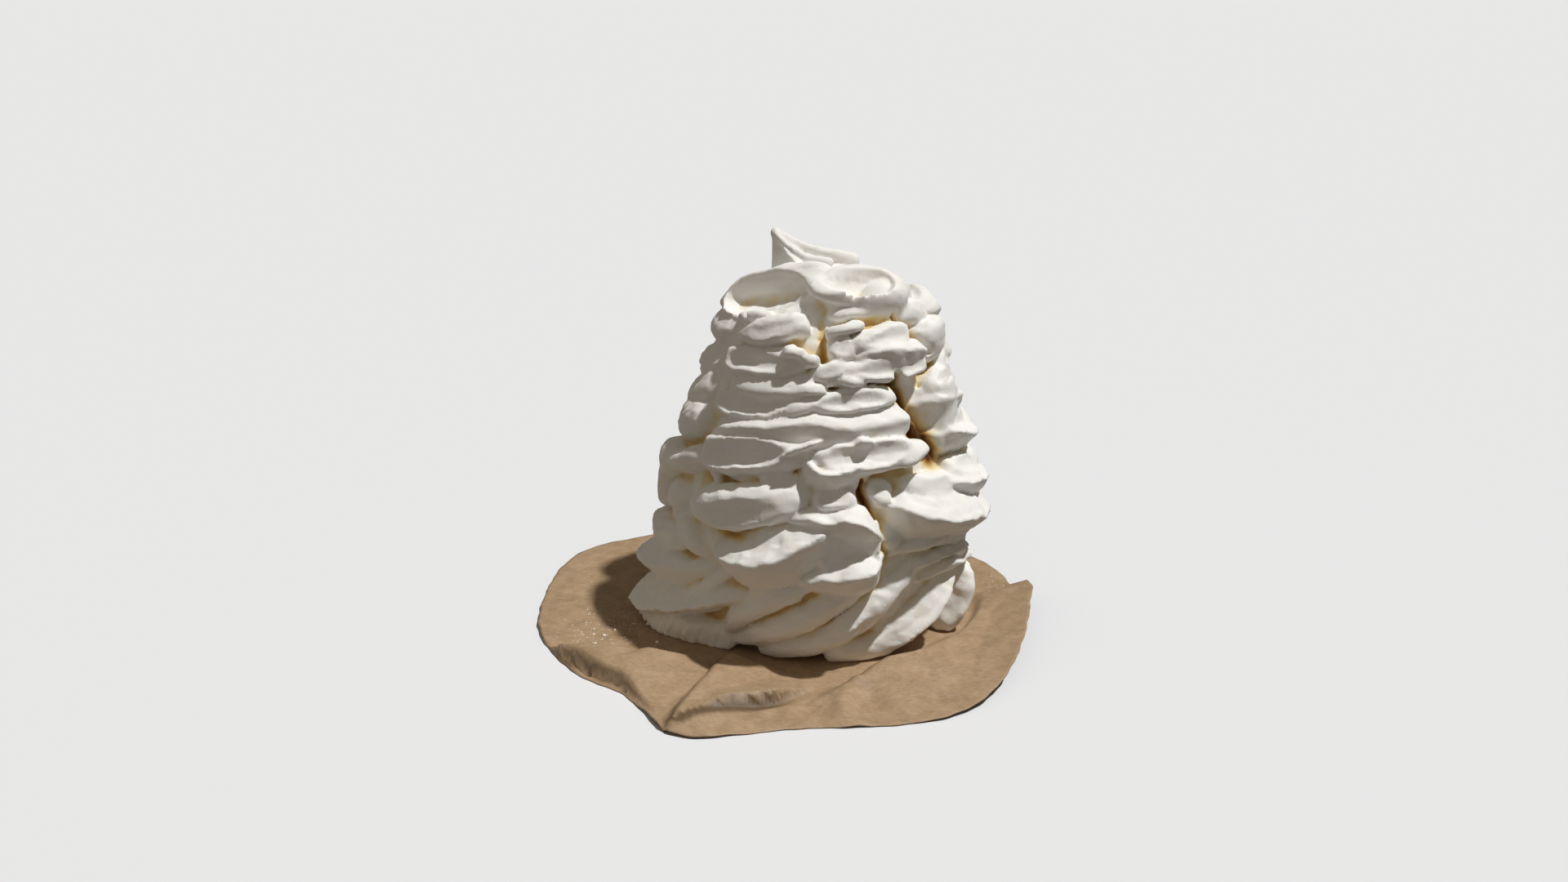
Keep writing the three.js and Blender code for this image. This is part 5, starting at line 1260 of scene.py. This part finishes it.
# %% Floor
HALF_FLOOR = 40000                          # mm; far enough to fill the frame to its edge
corners_of_floor = [(x * HALF_FLOOR, y * HALF_FLOOR, 0) for x, y in ((-1, -1), (1, -1), (1, 1), (-1, 1))]
floor = new_piece("floor", corners_of_floor, [(0, 1, 2, 3)])
floor_paint, tree = new_material("floor_pale_matt")
pale = add(tree, "ShaderNodeBsdfDiffuse", sockets={"Color": colour("#e5e7ea")})
dim = add(tree, "ShaderNodeBsdfDiffuse", sockets={"Color": colour("#6b655e")})
path = add(tree, "ShaderNodeLightPath")
both = add(tree, "ShaderNodeMixShader", {0: (path, "Is Diffuse Ray"), 1: (pale, "BSDF"), 2: (dim, "BSDF")})
add(tree, "ShaderNodeOutputMaterial", {"Surface": (both, "Shader")})
floor.data.materials.append(floor_paint)
print("floor", 2 * HALF_FLOOR / 1000, "m wide")

# %% [markdown]
# ## Light
# One lamp stands high up at the right, hard enough to draw shadows: it lights the upper lip of every
# band and leaves the face below it in shade, which is what makes the bands read. A wide, weak and
# slightly warm light from the left stands for the room, and the sky adds a little from all sides.

# %% Lamp and sky
SKY, SUN, ROOM = 0.1, 2.95, 0.31            # strength of the sky, and watts per square metre of the two lamps
SUN_WIDE, ROOM_WIDE = 2.5, 110              # degrees across; the wide one casts hardly any shadow
sky = bpy.data.worlds.new("sky")
bpy.context.scene.world = sky
sky.use_nodes = True
sky.node_tree.nodes["Background"].inputs["Color"].default_value = (1.0, 0.87, 0.71, 1)
sky.node_tree.nodes["Background"].inputs["Strength"].default_value = SKY
lamp = bpy.data.lights.new("key", "SUN")
lamp.energy = SUN
lamp.angle = math.radians(SUN_WIDE)
lamp.color = (1.0, 0.995, 0.985)
key = bpy.data.objects.new("key", lamp)
bpy.context.scene.collection.objects.link(key)
window = bpy.data.lights.new("window", "SUN")
window.energy = ROOM
window.angle = math.radians(ROOM_WIDE)
window.color = (1.0, 0.9, 0.78)
room = bpy.data.objects.new("window", window)
bpy.context.scene.collection.objects.link(room)
room.rotation_euler = Vector((-0.7, -0.45, 0.8)).to_track_quat("Z", "Y").to_euler()
to_light = Vector((0.45, -0.07, 1.0)).normalized()
key.location = Vector((0, 0, 0.05)) + to_light * 1.2
key.rotation_euler = to_light.to_track_quat("Z", "Y").to_euler()
bpy.context.scene.view_settings.view_transform = "Standard"
print("lamp", [round(v, 2) for v in key.location])

# %% [markdown]
# ## Camera
# It looks a little down, from an arm's length, so that the top of the crown and the far rim of the
# paper both show. The aim is a little off the middle, and its two small angles are given in pixels.

# %% Camera
DISTANCE, ELEVATION = 0.45, math.radians(18.5)
FOCAL_PIXELS, RIGHT_PIXELS, UP_PIXELS = 1800, -44, 13       # in a frame 1920 pixels wide
back = Vector((0, -math.cos(ELEVATION), math.sin(ELEVATION)))
up = Vector((0, math.sin(ELEVATION), math.cos(ELEVATION)))
lens = bpy.data.cameras.new("camera")
lens.sensor_width = 36
lens.lens = lens.sensor_width * FOCAL_PIXELS / 1920
camera = bpy.data.objects.new("camera", lens)
bpy.context.scene.collection.objects.link(camera)
camera.location = Vector((0, 0, 0.05)) + back * DISTANCE
aim = -back + Vector((1, 0, 0)) * (RIGHT_PIXELS / FOCAL_PIXELS) + up * (UP_PIXELS / FOCAL_PIXELS)
camera.rotation_euler = aim.to_track_quat("-Z", "Y").to_euler()
lens.clip_start = 0.01
bpy.context.scene.camera = camera
print("camera", [round(v, 3) for v in camera.location])

# %% [markdown]
# ## Finish
# The scene's view layer is brought up to date.

# %% Finish
bpy.context.view_layer.update()
